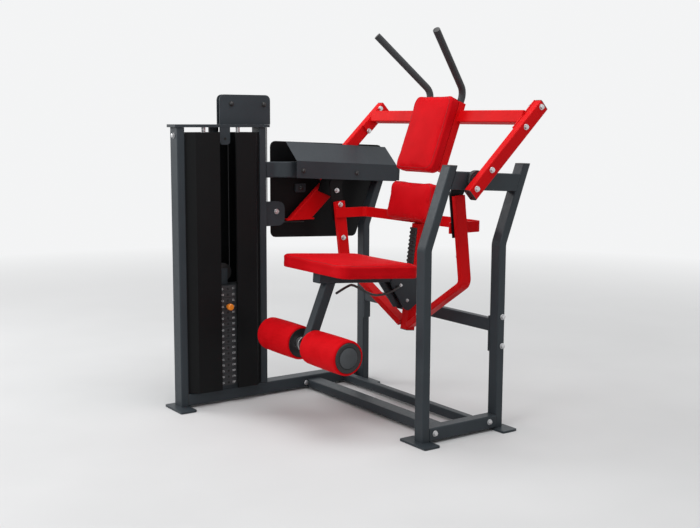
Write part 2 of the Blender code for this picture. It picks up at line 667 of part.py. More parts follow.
def tower():
    front = block((STACK_X, STACK_FRONT_Y, (FOOT_THICK / 2 + STACK_TOP_Z) / 2),
                  (STACK_TUBE_WIDE, TUBE_DEEP, STACK_TOP_Z - FOOT_THICK / 2), TUBE_ROUND)
    upright = piece("stack_front_upright", front, "grey_paint", machine)
    combine(upright, foot(STACK_X + STACK_FOOT_SHIFT_X, STACK_FRONT_Y + STACK_FOOT_SHIFT_Y), "UNION", machine)
    low = BASE_TOP_Z + SEAT_GAP
    rear = block((STACK_X, STACK_REAR_Y, (low + STACK_TOP_Z) / 2),
                 (STACK_TUBE_WIDE, TUBE_DEEP, STACK_TOP_Z - low), TUBE_ROUND)
    piece("stack_rear_upright", rear, "grey_paint", machine)
    plate_z = STACK_TOP_Z + SEAT_GAP
    top_z = plate_z + TOP_PLATE_THICK
    middle_y = (TOP_PLATE_FRONT_Y + TOP_PLATE_REAR_Y) / 2
    size = (TOP_PLATE_WIDE, TOP_PLATE_REAR_Y - TOP_PLATE_FRONT_Y, TOP_PLATE_THICK)
    top = block((STACK_X, middle_y, (plate_z + top_z) / 2), size)
    top = piece("stack_top_plate", top, "grey_paint", machine)
    cable_y = WEIGHT_Y + HEAD_PULLEY_RADIUS
    port = block((STACK_X, cable_y, plate_z), (*CABLE_PORT, 4 * TOP_PLATE_THICK))
    combine(top, port, "DIFFERENCE", machine)
    tab = block((STACK_X, WEIGHT_Y - HEAD_PULLEY_RADIUS, plate_z - ANCHOR_TAB_DROP), ANCHOR_TAB)
    combine(top, tab, "UNION", machine)
    spread = GUIDE_SPACING / 2
    for name, y in (("guide_rod_front", WEIGHT_Y - spread), ("guide_rod_rear", WEIGHT_Y + spread)):
        piece(name, rod((STACK_X, y, WEIGHT_LOW_Z), (STACK_X, y, STACK_TOP_Z), GUIDE_RADIUS), "zinc", machine)
    x_out = STACK_X + SHROUD_OUT
    y_front = STACK_FRONT_Y + TUBE_DEEP / 2 + SEAT_GAP
    y_rear = STACK_REAR_Y - TUBE_DEEP / 2 - SEAT_GAP
    slot = SHROUD_SLOT / 2
    corner = STACK_X + STACK_TUBE_WIDE / 2 - TUBE_ROUND - SHROUD_THICK
    for name, edge, way in (("shroud_front", y_front, 1), ("shroud_rear", y_rear, -1)):
        bend = edge + way * SHROUD_CHAMFER
        lip = WEIGHT_Y - way * slot
        path = [(corner, edge), (corner, edge + way * SHROUD_TAB), (x_out, bend),
                (x_out, lip), (x_out - SHROUD_LIP, lip)]
        sheet(name, path)
    back = 2 * STACK_X - x_out
    far = 2 * STACK_X - corner
    sheet("shroud_back", [(far, y_front), (far, y_front + SHROUD_TAB), (back, y_front + SHROUD_CHAMFER),
                          (back, y_rear - SHROUD_CHAMFER), (far, y_rear - SHROUD_TAB), (far, y_rear)])


def sheet(name, path):
    section = rectangle(SHROUD_TOP_Z - SHROUD_LOW_Z, SHROUD_THICK)
    middle = (SHROUD_TOP_Z + SHROUD_LOW_Z) / 2
    piece(name, sweep([(a, b, middle) for a, b in path], (0, 0, 1), section), "black_sheet", machine)


def bore_stack(target, carrier):
    """The guide-rod and stem holes through a block of the stack."""
    spread = GUIDE_SPACING / 2
    holes = [(WEIGHT_Y - spread, GUIDE_RADIUS), (WEIGHT_Y + spread, GUIDE_RADIUS), (WEIGHT_Y, STEM_RADIUS)]
    for y, radius in holes:
        hole = rod((STACK_X, y, 0.0), (STACK_X, y, STACK_TOP_Z), radius + 2 * RUN_GAP)
        combine(target, hole, "DIFFERENCE", carrier)


def weights(name, low, count, carrier):
    outer = rectangle(WEIGHT_WIDE, WEIGHT_LONG, WEIGHT_EDGE, 1)
    inner = rectangle(WEIGHT_WIDE - WEIGHT_EDGE, WEIGHT_LONG - WEIGHT_EDGE, WEIGHT_EDGE, 1)
    rings = []
    for number in range(count):
        bottom = low + number * WEIGHT_PITCH
        top = bottom + WEIGHT_PITCH
        levels = [(outer, bottom + WEIGHT_GROOVE / 2), (outer, top - WEIGHT_GROOVE / 2)]
        if number:
            levels = [(inner, bottom + WEIGHT_GROOVE / 2)] + levels
        if number < count - 1:
            levels.append((inner, top - WEIGHT_GROOVE / 2))
        rings += [[(STACK_X + p.x, WEIGHT_Y + p.y, z) for p in ring] for ring, z in levels]
    made = piece(name, loft(rings), "iron", carrier)
    bore_stack(made, carrier)
    return made


def stack():
    weights("weights_resting", WEIGHT_LOW_Z, WEIGHTS_RESTING, machine)
    lifted = weights("weights_lifted", WEIGHT_SPLIT_Z, WEIGHTS_LIFTED, stack_lift)
    hole = rod((STACK_X + STEM_RADIUS + PIN_HOLE_GAP, WEIGHT_Y, PIN_Z),
               (STACK_X + WEIGHT_WIDE, WEIGHT_Y, PIN_Z), PIN_RADIUS + RUN_GAP)
    combine(lifted, hole, "DIFFERENCE", stack_lift)
    knob_x = STACK_FACE_X + PIN_STAND
    knob = ((0.0, 0.7), (0.35, 0.7), (0.45, 1.0), (0.9, 1.0), (1.0, 0.8))    # shares of length and radius
    pin = [(-PIN_IN, PIN_RADIUS), (0.0, PIN_RADIUS)]
    pin += [(KNOB_LONG * a, KNOB_RADIUS * b) for a, b in knob]
    piece("selector_pin", turned(pin, (knob_x, WEIGHT_Y, PIN_Z), X_SIDE, 20), "orange_knob", pin_slide)
    half = PULLEY_WIDE / 2 + 2 * RUN_GAP
    low = WEIGHT_TOP_Z
    stem = rod((STACK_X, WEIGHT_Y, WEIGHT_SPLIT_Z + STEM_LOW_GAP), (STACK_X, WEIGHT_Y, low + STEM_UP),
               STEM_RADIUS)
    yoke = piece("head_yoke", stem, "grey_paint", stack_lift)
    size = (2 * (half + YOKE_THICK), YOKE_WIDE, YOKE_BASE_THICK)
    combine(yoke, block((STACK_X, WEIGHT_Y, low + YOKE_BASE_THICK / 2), size), "UNION", stack_lift)
    plate_low = low + AXLE_BITE
    plate_top = HEAD_PULLEY_Z + YOKE_UP
    size = (YOKE_THICK, YOKE_WIDE, plate_top - plate_low)
    for side in SIDES.values():
        x = STACK_X + side * (half + YOKE_THICK / 2)
        combine(yoke, block((x, WEIGHT_Y, (plate_low + plate_top) / 2), size), "UNION", stack_lift)
    combine(yoke, pulley_axle(half, WEIGHT_Y, HEAD_PULLEY_Z), "UNION", stack_lift)
    pulley("head_pulley", HEAD_PULLEY_RADIUS, (STACK_X, WEIGHT_Y, HEAD_PULLEY_Z), head_axis)


def top_pulleys():
    low = STACK_TOP_Z + TOP_PLATE_THICK + 2 * SEAT_GAP
    half = PULLEY_WIDE / 2 + 2 * RUN_GAP
    corners = [(COVER_FRONT_Y, low), (COVER_REAR_Y, low), (COVER_REAR_Y, low + COVER_TALL),
               (COVER_FRONT_Y, low + COVER_TALL)]
    arcs = rounded(corners, COVER_ROUND, 4)
    outline = [Vector(corners[0]), Vector(corners[1])] + arcs[10:]
    for name, side in (("pulley_plate_inner", 1), ("pulley_plate_outer", -1)):
        faces = sorted((STACK_X + side * half, STACK_X + side * (half + COVER_THICK)))
        plate = piece(name, prism(outline, "X", *faces), "grey_paint", machine)
        if side < 0:
            for y in (TOP_PULLEY_FRONT_Y, TOP_PULLEY_REAR_Y):
                axle = rod((faces[1] - AXLE_BITE, y, TOP_PULLEY_Z),
                           (STACK_X + half - SEAT_GAP, y, TOP_PULLEY_Z), PULLEY_BORE - RUN_GAP)
                combine(plate, axle, "UNION", machine)
    for name, y in (("top_pulley_front", TOP_PULLEY_FRONT_Y), ("top_pulley_rear", TOP_PULLEY_REAR_Y)):
        place = (STACK_X, y, TOP_PULLEY_Z)
        pulley(name, PULLEY_RADIUS, place, group(f"{name}_axis", place, machine))
    place = (STACK_X, EAR_PULLEY_Y, EAR_PULLEY_Z)
    pulley("ear_pulley", EAR_PULLEY_RADIUS, place, group("ear_pulley_axis", place, machine))
    wall = STACK_REAR_Y + TUBE_DEEP / 2 + SEAT_GAP
    root_x = half + EAR_THICK
    size = (2 * root_x, EAR_WALL, EAR_TALL)
    bracket = block((STACK_X, wall + EAR_WALL / 2, EAR_PULLEY_Z), size)
    bracket = piece("ear_bracket", bracket, "grey_paint", machine)
    root = wall + EAR_BITE
    tip = wall + EAR_REACH
    ear_low = EAR_PULLEY_Z - EAR_TALL / 2
    ear_top = EAR_PULLEY_Z + EAR_TALL / 2
    arcs = rounded([(root, ear_low), (tip, ear_low), (tip, ear_top), (root, ear_top)], EAR_ROUND, 4)
    ear = [(root, ear_low)] + arcs[5:15] + [(root, ear_top)]    # only the free corners are round
    for side in SIDES.values():
        faces = sorted((STACK_X + side * half, STACK_X + side * root_x))
        combine(bracket, prism(ear, "X", *faces), "UNION", machine)
    combine(bracket, pulley_axle(half, EAR_PULLEY_Y, EAR_PULLEY_Z), "UNION", machine)


def arc(y, z, radius, start, end, steps):
    """Points on a circle in the cable's plane, angles in degrees from +Y towards +Z."""
    angles = [math.radians(start + (end - start) * s / steps) for s in range(steps + 1)]
    return [(STACK_X, y + radius * math.cos(a), z + radius * math.sin(a)) for a in angles]


def cables():
    wrap = arc(TOP_PULLEY_FRONT_Y, TOP_PULLEY_Z, PULLEY_RADIUS, 180, 90, 9)
    wrap += arc(TOP_PULLEY_REAR_Y, TOP_PULLEY_Z, PULLEY_RADIUS, 90, 0, 9)
    wrap += arc(EAR_PULLEY_Y, EAR_PULLEY_Z, EAR_PULLEY_RADIUS, 180, 270, 9)
    cable("main_cable", wrap, CABLE_RADIUS, "cable", machine)
    low = HEAD_PULLEY_Z
    tab_low = STACK_TOP_Z - ANCHOR_TAB_DROP - ANCHOR_TAB[2] / 2
    y = WEIGHT_Y - HEAD_PULLEY_RADIUS
    path = [(STACK_X, y, tab_low - SEAT_GAP), (STACK_X, y, low)]
    cable("anchor_cable", path, CABLE_RADIUS, "cable", machine)
    y = WEIGHT_Y + HEAD_PULLEY_RADIUS
    path = [(STACK_X, y, TOP_PULLEY_Z - CABLE_END_GAP), (STACK_X, y, low)]
    cable("head_cable", path, CABLE_RADIUS, "cable", machine)
    z = EAR_PULLEY_Z - EAR_PULLEY_RADIUS
    end = (STACK_X, LEVER_FOOT[0] + LEVER_CABLE_END[0], z + LEVER_CABLE_END[1])
    path = [(STACK_X, EAR_PULLEY_Y + CABLE_END_GAP, z), end]
    cable("lever_cable", path, CABLE_RADIUS, "cable", machine)


def pad_frame(front_y, front_z, lean, thick):
    """Matrix of a pad whose front middle is given: local x across, y up the pad, z out of its front."""
    out = Vector((0, -math.cos(lean), math.sin(lean)))
    up = Vector((0, math.sin(lean), math.cos(lean)))
    across = up.cross(out)
    back = Vector((0, front_y, front_z)) - out * thick
    turn = Matrix((across, up, out)).transposed().to_4x4()
    return Matrix.Translation(back) @ turn


def upper_arm():
    section = rectangle(ARM_THICK, ARM_TALL, TUBE_ROUND)
    for side_name, side in SIDES.items():
        x = side * ARM_MID_X
        middle = Vector((x, 0, PIVOT_Z))
        path = [middle - ARM_U * ARM_BELOW, middle + ARM_U * ARM_ABOVE]
        piece(f"arm_{side_name}", sweep(path, X_SIDE, section), "red_paint", arm_axis)
        inner = FRAME_HALF_GAP - HANGER_PLATE_THICK - 3 * SIDE_PLAY
        if side > 0:
            inner -= HANGER_BAR_THICK
        outer = ARM_MID_X - ARM_THICK / 2 - SEAT_GAP
        bar_out = FRAME_HALF_GAP + TUBE_WIDE + SIDE_PLAY
        hub = LEVER_HUB_THICK + SEAT_GAP if side < 0 else 0.0
        profile = [(inner - SHAFT_COLLAR_LONG, SHAFT_COLLAR_RADIUS), (inner, SHAFT_COLLAR_RADIUS),
                   (inner, SHAFT_RADIUS), (bar_out, SHAFT_RADIUS),
                   (bar_out, SHAFT_FLANGE_RADIUS), (outer - hub, SHAFT_FLANGE_RADIUS)]
        shaft = turned(profile, (0, 0, PIVOT_Z), (side, 0, 0), 20)
        piece(f"pivot_shaft_{side_name}", shaft, "grey_paint", arm_axis)
    place = pad_frame(PAD_FRONT_Y, PAD_FRONT_Z, PAD_LEAN, PAD_THICK)
    piece("upper_pad", cushion(PAD_WIDE, PAD_TALL, PAD_THICK, PAD_ROUND, place), "red_vinyl", arm_axis)
    half = ARM_MID_X - ARM_THICK / 2 - SEAT_GAP
    centre = Vector((0, 0, PIVOT_Z)) + ARM_U * CROSSBAR_ALONG
    local = place.inverted() @ centre
    drop = -CROSSBAR_DEEP / 2 - SEAT_GAP
    up = place.to_3x3() @ Vector((0, 1, 0))
    reach = half - FLANGE_THICK / 2
    ends = [place @ Vector((side * reach, local.y, drop - CROSSBAR_BACK)) for side in (1, -1)]
    bar = sweep(ends, up, rectangle(CROSSBAR_TALL, CROSSBAR_DEEP, TUBE_ROUND))
    frame = piece("upper_frame", bar, "red_paint", arm_axis)
    for side in SIDES.values():
        middle = centre + Vector((side * reach, 0, 0))
        path = [middle - ARM_U * FLANGE_LONG / 2, middle + ARM_U * FLANGE_LONG / 2]
        combine(frame, sweep(path, X_SIDE, rectangle(FLANGE_THICK, FLANGE_WIDE)), "UNION", arm_axis)
        path = [place @ Vector((side * PAD_RAIL_X, t, drop)) for t in (-PAD_RAIL_BELOW, PAD_RAIL_ABOVE)]
        combine(frame, sweep(path, X_SIDE, rectangle(PAD_RAIL_SIZE, PAD_RAIL_SIZE)), "UNION", arm_axis)
    for side_name, side in SIDES.items():
        start = place @ Vector((side * PAD_RAIL_X, PAD_RAIL_ABOVE + SEAT_GAP, drop))
        bend = start + up * (HANDLE_BEND_Z - start.z)
        tip = (side * HANDLE_TIP[0], *HANDLE_TIP[1:])
        path = rounded([start, bend, tip], HANDLE_BEND_RADIUS, 6, closed=False)
        circle = [(HANDLE_RADIUS * math.cos(a), HANDLE_RADIUS * math.sin(a))
                  for a in (2 * math.pi * s / 16 for s in range(16))]
        piece(f"handle_{side_name}", sweep(path, X_SIDE, circle), "black_grip", arm_axis)


def drive_lever():
    top = Vector((STACK_X, *LEVER_TOP))
    low = Vector((STACK_X, *LEVER_FOOT))
    bm = sweep([top, low + (low - top) * 0.3], X_SIDE, rectangle(ARM_THICK, LEVER_TALL, TUBE_ROUND))
    lever = piece("drive_lever", trim(bm, low, (0, 0, -1)), "red_paint", arm_axis)
    flange = block(low, (ARM_THICK, LEVER_FLANGE_LONG, LEVER_FLANGE_THICK))
    combine(lever, flange, "UNION", arm_axis)
    hub_x = LEVER_HUB_THICK / 2 - (ARM_MID_X - ARM_THICK / 2 - SEAT_GAP)
    path = [(hub_x, LEVER_HUB_START[0], PIVOT_Z + LEVER_HUB_START[1]),
            (hub_x, LEVER_TOP[0] + LEVER_HUB_END[0], LEVER_TOP[1] + LEVER_HUB_END[1])]
    hub = sweep(path, X_SIDE, rectangle(LEVER_HUB_THICK, LEVER_HUB_WIDE))
    piece("lever_hub", hub, "black_sheet", arm_axis)


def hanger():
    outer = FRAME_HALF_GAP - SIDE_PLAY
    run = (HANGER_BEND[0] - HANGER_TOP[0]) / (HANGER_TOP[1] - HANGER_BEND[1])
    low_y = HANGER_TOP[0] + run * (HANGER_TOP[1] - HANGER_PLATE_LOW_Z)
    for side_name, side in SIDES.items():
        # both plates lie on the right-hand face of their bar
        plate_in = outer - HANGER_PLATE_THICK - (HANGER_BAR_THICK + SEAT_GAP if side > 0 else 0.0)
        bar_x = outer - HANGER_BAR_THICK / 2 - (HANGER_PLATE_THICK + SEAT_GAP if side < 0 else 0.0)
        bar_x *= side
        x = side * (plate_in + HANGER_PLATE_THICK / 2)
        path = [(x, 0.0, PIVOT_Z + HANGER_EAR), (x, 0.0, PIVOT_Z - HANGER_EAR / 2),
                (x, *HANGER_TOP), (x, low_y, HANGER_PLATE_LOW_Z)]
        section = rectangle(HANGER_PLATE_THICK, HANGER_PLATE_WIDE)
        plate = piece(f"hanger_plate_{side_name}", sweep(path, X_SIDE, section), "black_sheet", hanger_axis)
        bore = rod((x - HANGER_PLATE_THICK, 0, PIVOT_Z), (x + HANGER_PLATE_THICK, 0, PIVOT_Z),
                   SHAFT_RADIUS + RUN_GAP)
        combine(plate, bore, "DIFFERENCE", hanger_axis)
        top = Vector((bar_x, *HANGER_TOP))
        if side < 0:
            top.z = HANGER_RIGHT_TOP_Z
            top.y += run * (HANGER_TOP[1] - top.z)
        path = [top, Vector((bar_x, *HANGER_BEND)), Vector((side * HUB_HALF, HUB_Y, HUB_Z))]
        path = rounded(path, HANGER_BEND_RADIUS, 4, closed=False)
        bm = sweep(path, (0, 1, 0), rectangle(HANGER_BAR_WIDE, HANGER_BAR_THICK, TUBE_ROUND, 1))
        trim(bm, (side * (POST_WIDE / 2 + SEAT_GAP), 0, 0), (-side, 0, 0))
        piece(f"hanger_bar_{side_name}", bm, "red_paint", hanger_axis)
    strap_x = outer - HANGER_PLATE_THICK - HANGER_BAR_THICK - 2 * SEAT_GAP - STRAP_THICK / 2
    path = [(strap_x, STRAP_FRONT_Y, STRAP_Z), (strap_x, STRAP_BACK_Y, STRAP_Z),
            (-strap_x, STRAP_BACK_Y, STRAP_Z), (-strap_x, STRAP_FRONT_Y, STRAP_Z)]
    path = rounded(path, STRAP_BEND_RADIUS, 4, closed=False)
    bm = sweep(path, (0, 0, 1), rectangle(STRAP_TALL, STRAP_THICK))
    strap = piece("back_strap", bm, "red_paint", hanger_axis)
    place = pad_frame(LUMBAR_FRONT_Y, LUMBAR_FRONT_Z, LUMBAR_LEAN, LUMBAR_THICK)
    pad = cushion(LUMBAR_WIDE, LUMBAR_TALL, LUMBAR_THICK, PAD_ROUND, place)
    piece("lumbar_pad", pad, "red_vinyl", hanger_axis)
    deep = -LUMBAR_PLATE_THICK / 2 - SEAT_GAP
    ends = (LUMBAR_PLATE_LOW_IN - LUMBAR_TALL / 2, LUMBAR_TALL / 2 - LUMBAR_PLATE_TOP_IN)
    path = [place @ Vector((0, t, deep)) for t in ends]
    plate = sweep(path, X_SIDE, rectangle(LUMBAR_PLATE_WIDE, LUMBAR_PLATE_THICK))
    combine(strap, plate, "UNION", hanger_axis)
    size = (LUMBAR_PLATE_WIDE / 2, STRAP_BOSS, STRAP_TALL - STRAP_THICK)
    boss = block((0, STRAP_BACK_Y - STRAP_BOSS / 2, STRAP_Z), size)
    combine(strap, boss, "UNION", hanger_axis)
    foot_point = Vector((0, POST_FOOT_Y, POST_FOOT_Z))
    top = foot_point + POST_U * POST_LONG
    bm = sweep([foot_point, top + POST_U * 0.1], X_SIDE, rectangle(POST_WIDE, POST_DEEP, TUBE_ROUND))
    post = trim(bm, (0, 0, STRAP_Z - STRAP_TALL / 2 - SEAT_GAP), (0, 0, 1))
    piece("seat_post", post, "red_paint", hanger_axis)
    front = Vector((0, -math.cos(POST_LEAN), math.sin(POST_LEAN)))
    face = foot_point + front * (POST_DEEP / 2 + SEAT_GAP)
    step = RACK_LONG / RACK_TEETH
    start = POST_LONG - RACK_TOP_GAP - RACK_LONG
    outline = [(start, 0.0), (start + RACK_LONG, 0.0)]
    for tooth in range(RACK_TEETH):
        high = start + RACK_LONG - tooth * step
        outline += [(high - step * share, RACK_THICK - RACK_TOOTH_DEEP * gap) for share, gap in TOOTH_SHAPE]
    rings = [[face + POST_U * a + front * b + Vector((x, 0, 0)) for a, b in outline]
             for x in (-RACK_WIDE / 2, RACK_WIDE / 2)]
    piece("rack_strip", loft(rings), "black_plastic", hanger_axis)


def seat():
    along = Vector((0, math.cos(SEAT_TILT), -math.sin(SEAT_TILT)))
    out = Vector((0, math.sin(SEAT_TILT), math.cos(SEAT_TILT)))
    middle = Vector((0, SEAT_FRONT_Y, SEAT_FRONT_Z)) + along * SEAT_LONG / 2 - out * SEAT_THICK / 2
    turn = Matrix((Vector((1, 0, 0)), along, out)).transposed().to_4x4()
    place = Matrix.Translation(middle) @ turn
    piece("seat_pad", cushion(SEAT_WIDE, SEAT_LONG, SEAT_THICK, SEAT_ROUND, place), "red_vinyl", seat_slide)
    under = place.inverted()
    level = -SEAT_TUBE_TALL / 2 - SEAT_GAP

    def below_seat(y, deep):
        return place @ Vector((0, (under @ Vector((0, y, SEAT_FRONT_Z))).y, deep))

    ends = [below_seat(y, level) for y in (SEAT_TUBE_FRONT_Y, SEAT_TUBE_REAR_Y)]
    tube = sweep(ends, X_SIDE, rectangle(SEAT_TUBE_WIDE, SEAT_TUBE_TALL, TUBE_ROUND))
    carriage = piece("seat_carriage", tube, "grey_paint", seat_slide)
    inner = POST_WIDE / 2 + RUN_GAP
    corners = [CARRIAGE_TOP_FRONT, CARRIAGE_TOP_REAR, CARRIAGE_LOW_REAR, CARRIAGE_LOW]
    outline = rounded(corners, CARRIAGE_ROUND, 5)
    for side in SIDES.values():
        faces = sorted((side * inner, side * (inner + CARRIAGE_THICK)))
        combine(carriage, prism(outline, "X", *faces), "UNION", seat_slide)
    latch = rod((0, *LATCH_TOP), (0, *LATCH_LOW), LATCH_RADIUS)
    combine(carriage, latch, "UNION", seat_slide)
    y, z = SEAT_LEVER_PIVOT[1:]
    stub = Vector((inner + CARRIAGE_THICK + SEAT_GAP, y, z))
    route = [stub] + smooth_route([SEAT_LEVER_PIVOT, *SEAT_LEVER_KNOTS], 3)
    circle = [(SEAT_LEVER_RADIUS * math.cos(a), SEAT_LEVER_RADIUS * math.sin(a))
              for a in (2 * math.pi * s / 8 for s in range(8))]
    piece("seat_lever", sweep(route, (0, 0, 1), circle), "black_plastic", seat_lever_axis)
    tube_low = below_seat(ROLLER_ARM_TOP_Y, level - SEAT_TUBE_TALL / 2 - SEAT_GAP)
    axle = Vector((0, AXLE_Y, AXLE_Z))
    path = [axle, tube_low + (tube_low - axle) * 0.2]
    bm = sweep(path, X_SIDE, rectangle(ROLLER_ARM_SIZE, ROLLER_ARM_SIZE, TUBE_ROUND))
    arm = piece("roller_arm", trim(bm, tube_low, out), "grey_paint", seat_slide)
    half = Vector((ROLLER_INNER_X + ROLLER_LONG, 0, 0))
    combine(arm, rod(axle - half, axle + half, AXLE_RADIUS), "UNION", seat_slide)
    bore = AXLE_RADIUS + RUN_GAP
    profile = [(0.0, bore), (0.0, ROLLER_RADIUS - ROLLER_EDGE)]
    profile += [(ROLLER_EDGE * (1 - math.cos(a)), ROLLER_RADIUS - ROLLER_EDGE * (1 - math.sin(a)))
                for a in (math.radians(d) for d in (35, 65, 90))]
    profile += [(ROLLER_LONG - d, r) for d, r in reversed(profile)]
    for side_name, side in SIDES.items():
        start = axle + Vector((side * ROLLER_INNER_X, 0, 0))
        roller = turned(profile, start, (side, 0, 0), 28, bored=True)
        piece(f"roller_{side_name}", roller, "red_foam", roller_axis)


def covers():
    face_x = HOOD_FACE_X
    half = HOOD_FACE_TALL / 2
    rings = []
    for y in (HOOD_FRONT_Y, HOOD_REAR_Y):
        z = bar_z(y)
        line = [(face_x, z - half), (face_x, z + half), (face_x - HOOD_DEEP, z + half + HOOD_RISE)]
        slant = Vector((-HOOD_DEEP, HOOD_RISE)).normalized()
        normal = Vector((slant.y, -slant.x))
        t = HOOD_THICK / 2
        steps = (Vector((t, 0)), Vector((t, 0)), normal * t)
        outer = [Vector(point) + step for point, step in zip(line, steps)]
        inner = [Vector(point) - step for point, step in zip(line, steps)]
        rings.append([(p.x, y, p.y) for p in outer + inner[::-1]])
    hood = piece("hood_cover", loft(rings), "grey_paint", machine)
    for y in HOOD_BOLT_Y:
        spacer = rod((face_x, y, bar_z(y)), (-FRAME_HALF_GAP + SEAT_GAP, y, bar_z(y)), SPACER_RADIUS)
        combine(hood, spacer, "UNION", machine)
    low, top = PIVOT_Z - SHIELD_BELOW, PIVOT_Z + SHIELD_ABOVE
    rear_top = SHIELD_REAR_LOW_Y + (top - low) * LEAN_RUN
    rear_bar = SHIELD_REAR_LOW_Y + SHIELD_BELOW * LEAN_RUN
    corners = [(SHIELD_FRONT_Y, low + SHIELD_SKEW), (SHIELD_REAR_LOW_Y, low - SHIELD_SKEW),
               (rear_top, top - SHIELD_TOP_DROP), (SHIELD_FRONT_Y, top)]
    faces = (SHIELD_X - SHIELD_THICK, SHIELD_X)
    outline = rounded(corners, SHIELD_ROUND, 4)
    shield = piece("side_shield", prism(outline, "X", *faces), "black_sheet", machine)
    bar_face = -(FRAME_HALF_GAP + TUBE_WIDE + SEAT_GAP)
    middle_x = SHIELD_X - SHIELD_THICK / 2
    for y in (SHIELD_FRONT_Y + 1.5 * SHIELD_SPACER_IN, rear_bar - SHIELD_SPACER_IN / 2):
        spacer = rod((middle_x, y, bar_z(y)), (bar_face, y, bar_z(y)), SPACER_RADIUS)
        combine(shield, spacer, "UNION", machine)


def centre_on_floor():
    """Move the machine so that the middle of its footprint is the origin."""
    bpy.context.view_layer.update()
    graph = bpy.context.evaluated_depsgraph_get()
    points = []
    for item in bpy.data.objects:
        if item.type == "EMPTY" or item.hide_render:
            continue
        shape = item.evaluated_get(graph)
        points += [shape.matrix_world @ vert.co for vert in shape.to_mesh().vertices]
    middle = [(min(p[i] for p in points) + max(p[i] for p in points)) / 2 for i in range(2)]
    machine.location = (-middle[0], -middle[1], 0.0)
    print("machine shift", [round(v, 6) for v in machine.location])


side_frames()
base()
tower()
stack()
top_pulleys()
cables()
upper_arm()
drive_lever()
hanger()
seat()
covers()
centre_on_floor()
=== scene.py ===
import json
import math

import bmesh
import bpy
from mathutils import Matrix, Vector
from mathutils.bvhtree import BVHTree


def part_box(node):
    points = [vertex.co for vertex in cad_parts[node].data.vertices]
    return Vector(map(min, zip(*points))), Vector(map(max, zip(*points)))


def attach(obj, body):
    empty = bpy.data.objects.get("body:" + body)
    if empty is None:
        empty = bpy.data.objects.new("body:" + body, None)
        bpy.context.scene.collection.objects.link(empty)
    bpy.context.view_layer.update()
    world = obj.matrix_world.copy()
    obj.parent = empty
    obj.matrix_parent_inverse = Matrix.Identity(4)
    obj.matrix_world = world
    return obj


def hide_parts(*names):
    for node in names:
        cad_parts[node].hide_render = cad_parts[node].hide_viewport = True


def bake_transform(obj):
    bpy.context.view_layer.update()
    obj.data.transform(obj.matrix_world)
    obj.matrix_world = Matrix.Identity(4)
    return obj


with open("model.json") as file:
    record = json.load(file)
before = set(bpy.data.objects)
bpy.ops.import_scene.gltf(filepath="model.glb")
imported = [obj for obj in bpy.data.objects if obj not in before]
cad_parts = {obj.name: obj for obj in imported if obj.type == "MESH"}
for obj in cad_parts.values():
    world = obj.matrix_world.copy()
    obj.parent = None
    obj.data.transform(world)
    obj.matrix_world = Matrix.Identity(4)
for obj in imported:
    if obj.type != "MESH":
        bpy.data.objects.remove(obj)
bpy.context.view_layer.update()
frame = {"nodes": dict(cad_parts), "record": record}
nodes = frame["nodes"]
behaviour = frame["record"]["behaviour"]
bodyOf = {node: body for body, names in behaviour["bodies"].items() for node in names}
slotOf = {part["node"]: part["material_slot"] for part in frame["record"]["subparts"]}
jointPlace = {j["name"]: Vector(j["pos_m"]) for j in behaviour["joints"] if "pos_m" in j}
swingAxis = jointPlace["arm_swing"]
midX = swingAxis.x
print("frame loaded:", len(nodes), "nodes")

weld = {"fine": 1e-6, "node": 1e-5, "pad": 1e-4}  # points nearer than this become one


def addObject(name, data):
    thing = bpy.data.objects.new(name, data)
    bpy.context.scene.collection.objects.link(thing)
    return thing


# the mesh that an object has with its modifiers on, as a new one
def evaluatedMesh(thing):
    return bpy.data.meshes.new_from_object(thing.evaluated_get(bpy.context.evaluated_depsgraph_get()))


# angles of a quarter turn in even steps
def quarterTurn(steps):
    return [math.pi / 2 * step / steps for step in range(steps + 1)]


# camera at the photograph's place, angles in degrees, pixels of a 700 x 528 picture
photoCamera = {"place": (4.0936, -2.8301, 1.430), "turn": 55.2338, "down": 7.854, "roll": 0.256,
               "lens": 54.104, "sensor": 36.0, "wide": 700, "tall": 528}


def cameraAxes():
    turn, down, roll = (math.radians(photoCamera[key]) for key in ("turn", "down", "roll"))
    ahead = Vector((-math.sin(turn) * math.cos(down), math.cos(turn) * math.cos(down), -math.sin(down)))
    level = Vector((math.cos(turn), math.sin(turn), 0))
    above = level.cross(ahead)
    right = level * math.cos(roll) + above * math.sin(roll)
    up = above * math.cos(roll) - level * math.sin(roll)
    return right, up, ahead


def setCamera():
    right, up, ahead = cameraAxes()
    lens = bpy.data.cameras.new("photoCamera")
    lens.lens = photoCamera["lens"]
    lens.sensor_width = photoCamera["sensor"]
    lens.sensor_fit = "HORIZONTAL"
    camera = addObject("photoCamera", lens)
    turn = Matrix((right, up, -ahead)).transposed().to_4x4()
    camera.matrix_world = Matrix.Translation(photoCamera["place"]) @ turn
    bpy.context.scene.camera = camera


def pixelRay(x, y):
    right, up, ahead = cameraAxes()
    focal = photoCamera["lens"] / photoCamera["sensor"] * photoCamera["wide"]
    across = (x - photoCamera["wide"] / 2) / focal
    over = (photoCamera["tall"] / 2 - y) / focal
    return Vector(photoCamera["place"]), (ahead + right * across + up * over).normalized()


# a copy of a node's mesh, its points welded where a distance is given
def nodeMesh(node, distance=0.0):
    bm = bmesh.new()
    bm.from_mesh(nodes[node].data)
    if distance:
        bmesh.ops.remove_doubles(bm, verts=bm.verts, dist=distance)
    return bm


# where a pixel's ray first meets a node: the point, and the face's direction towards the camera
def underPixel(x, y, node):
    bm = nodeMesh(node)
    tree = BVHTree.FromBMesh(bm)
    bm.free()
    start, ray = pixelRay(x, y)
    point, normal = tree.ray_cast(start, ray)[:2]
    if point is None:
        return None
    return point, normal if normal.dot(ray) < 0 else -normal


# finishes
finishes = {}


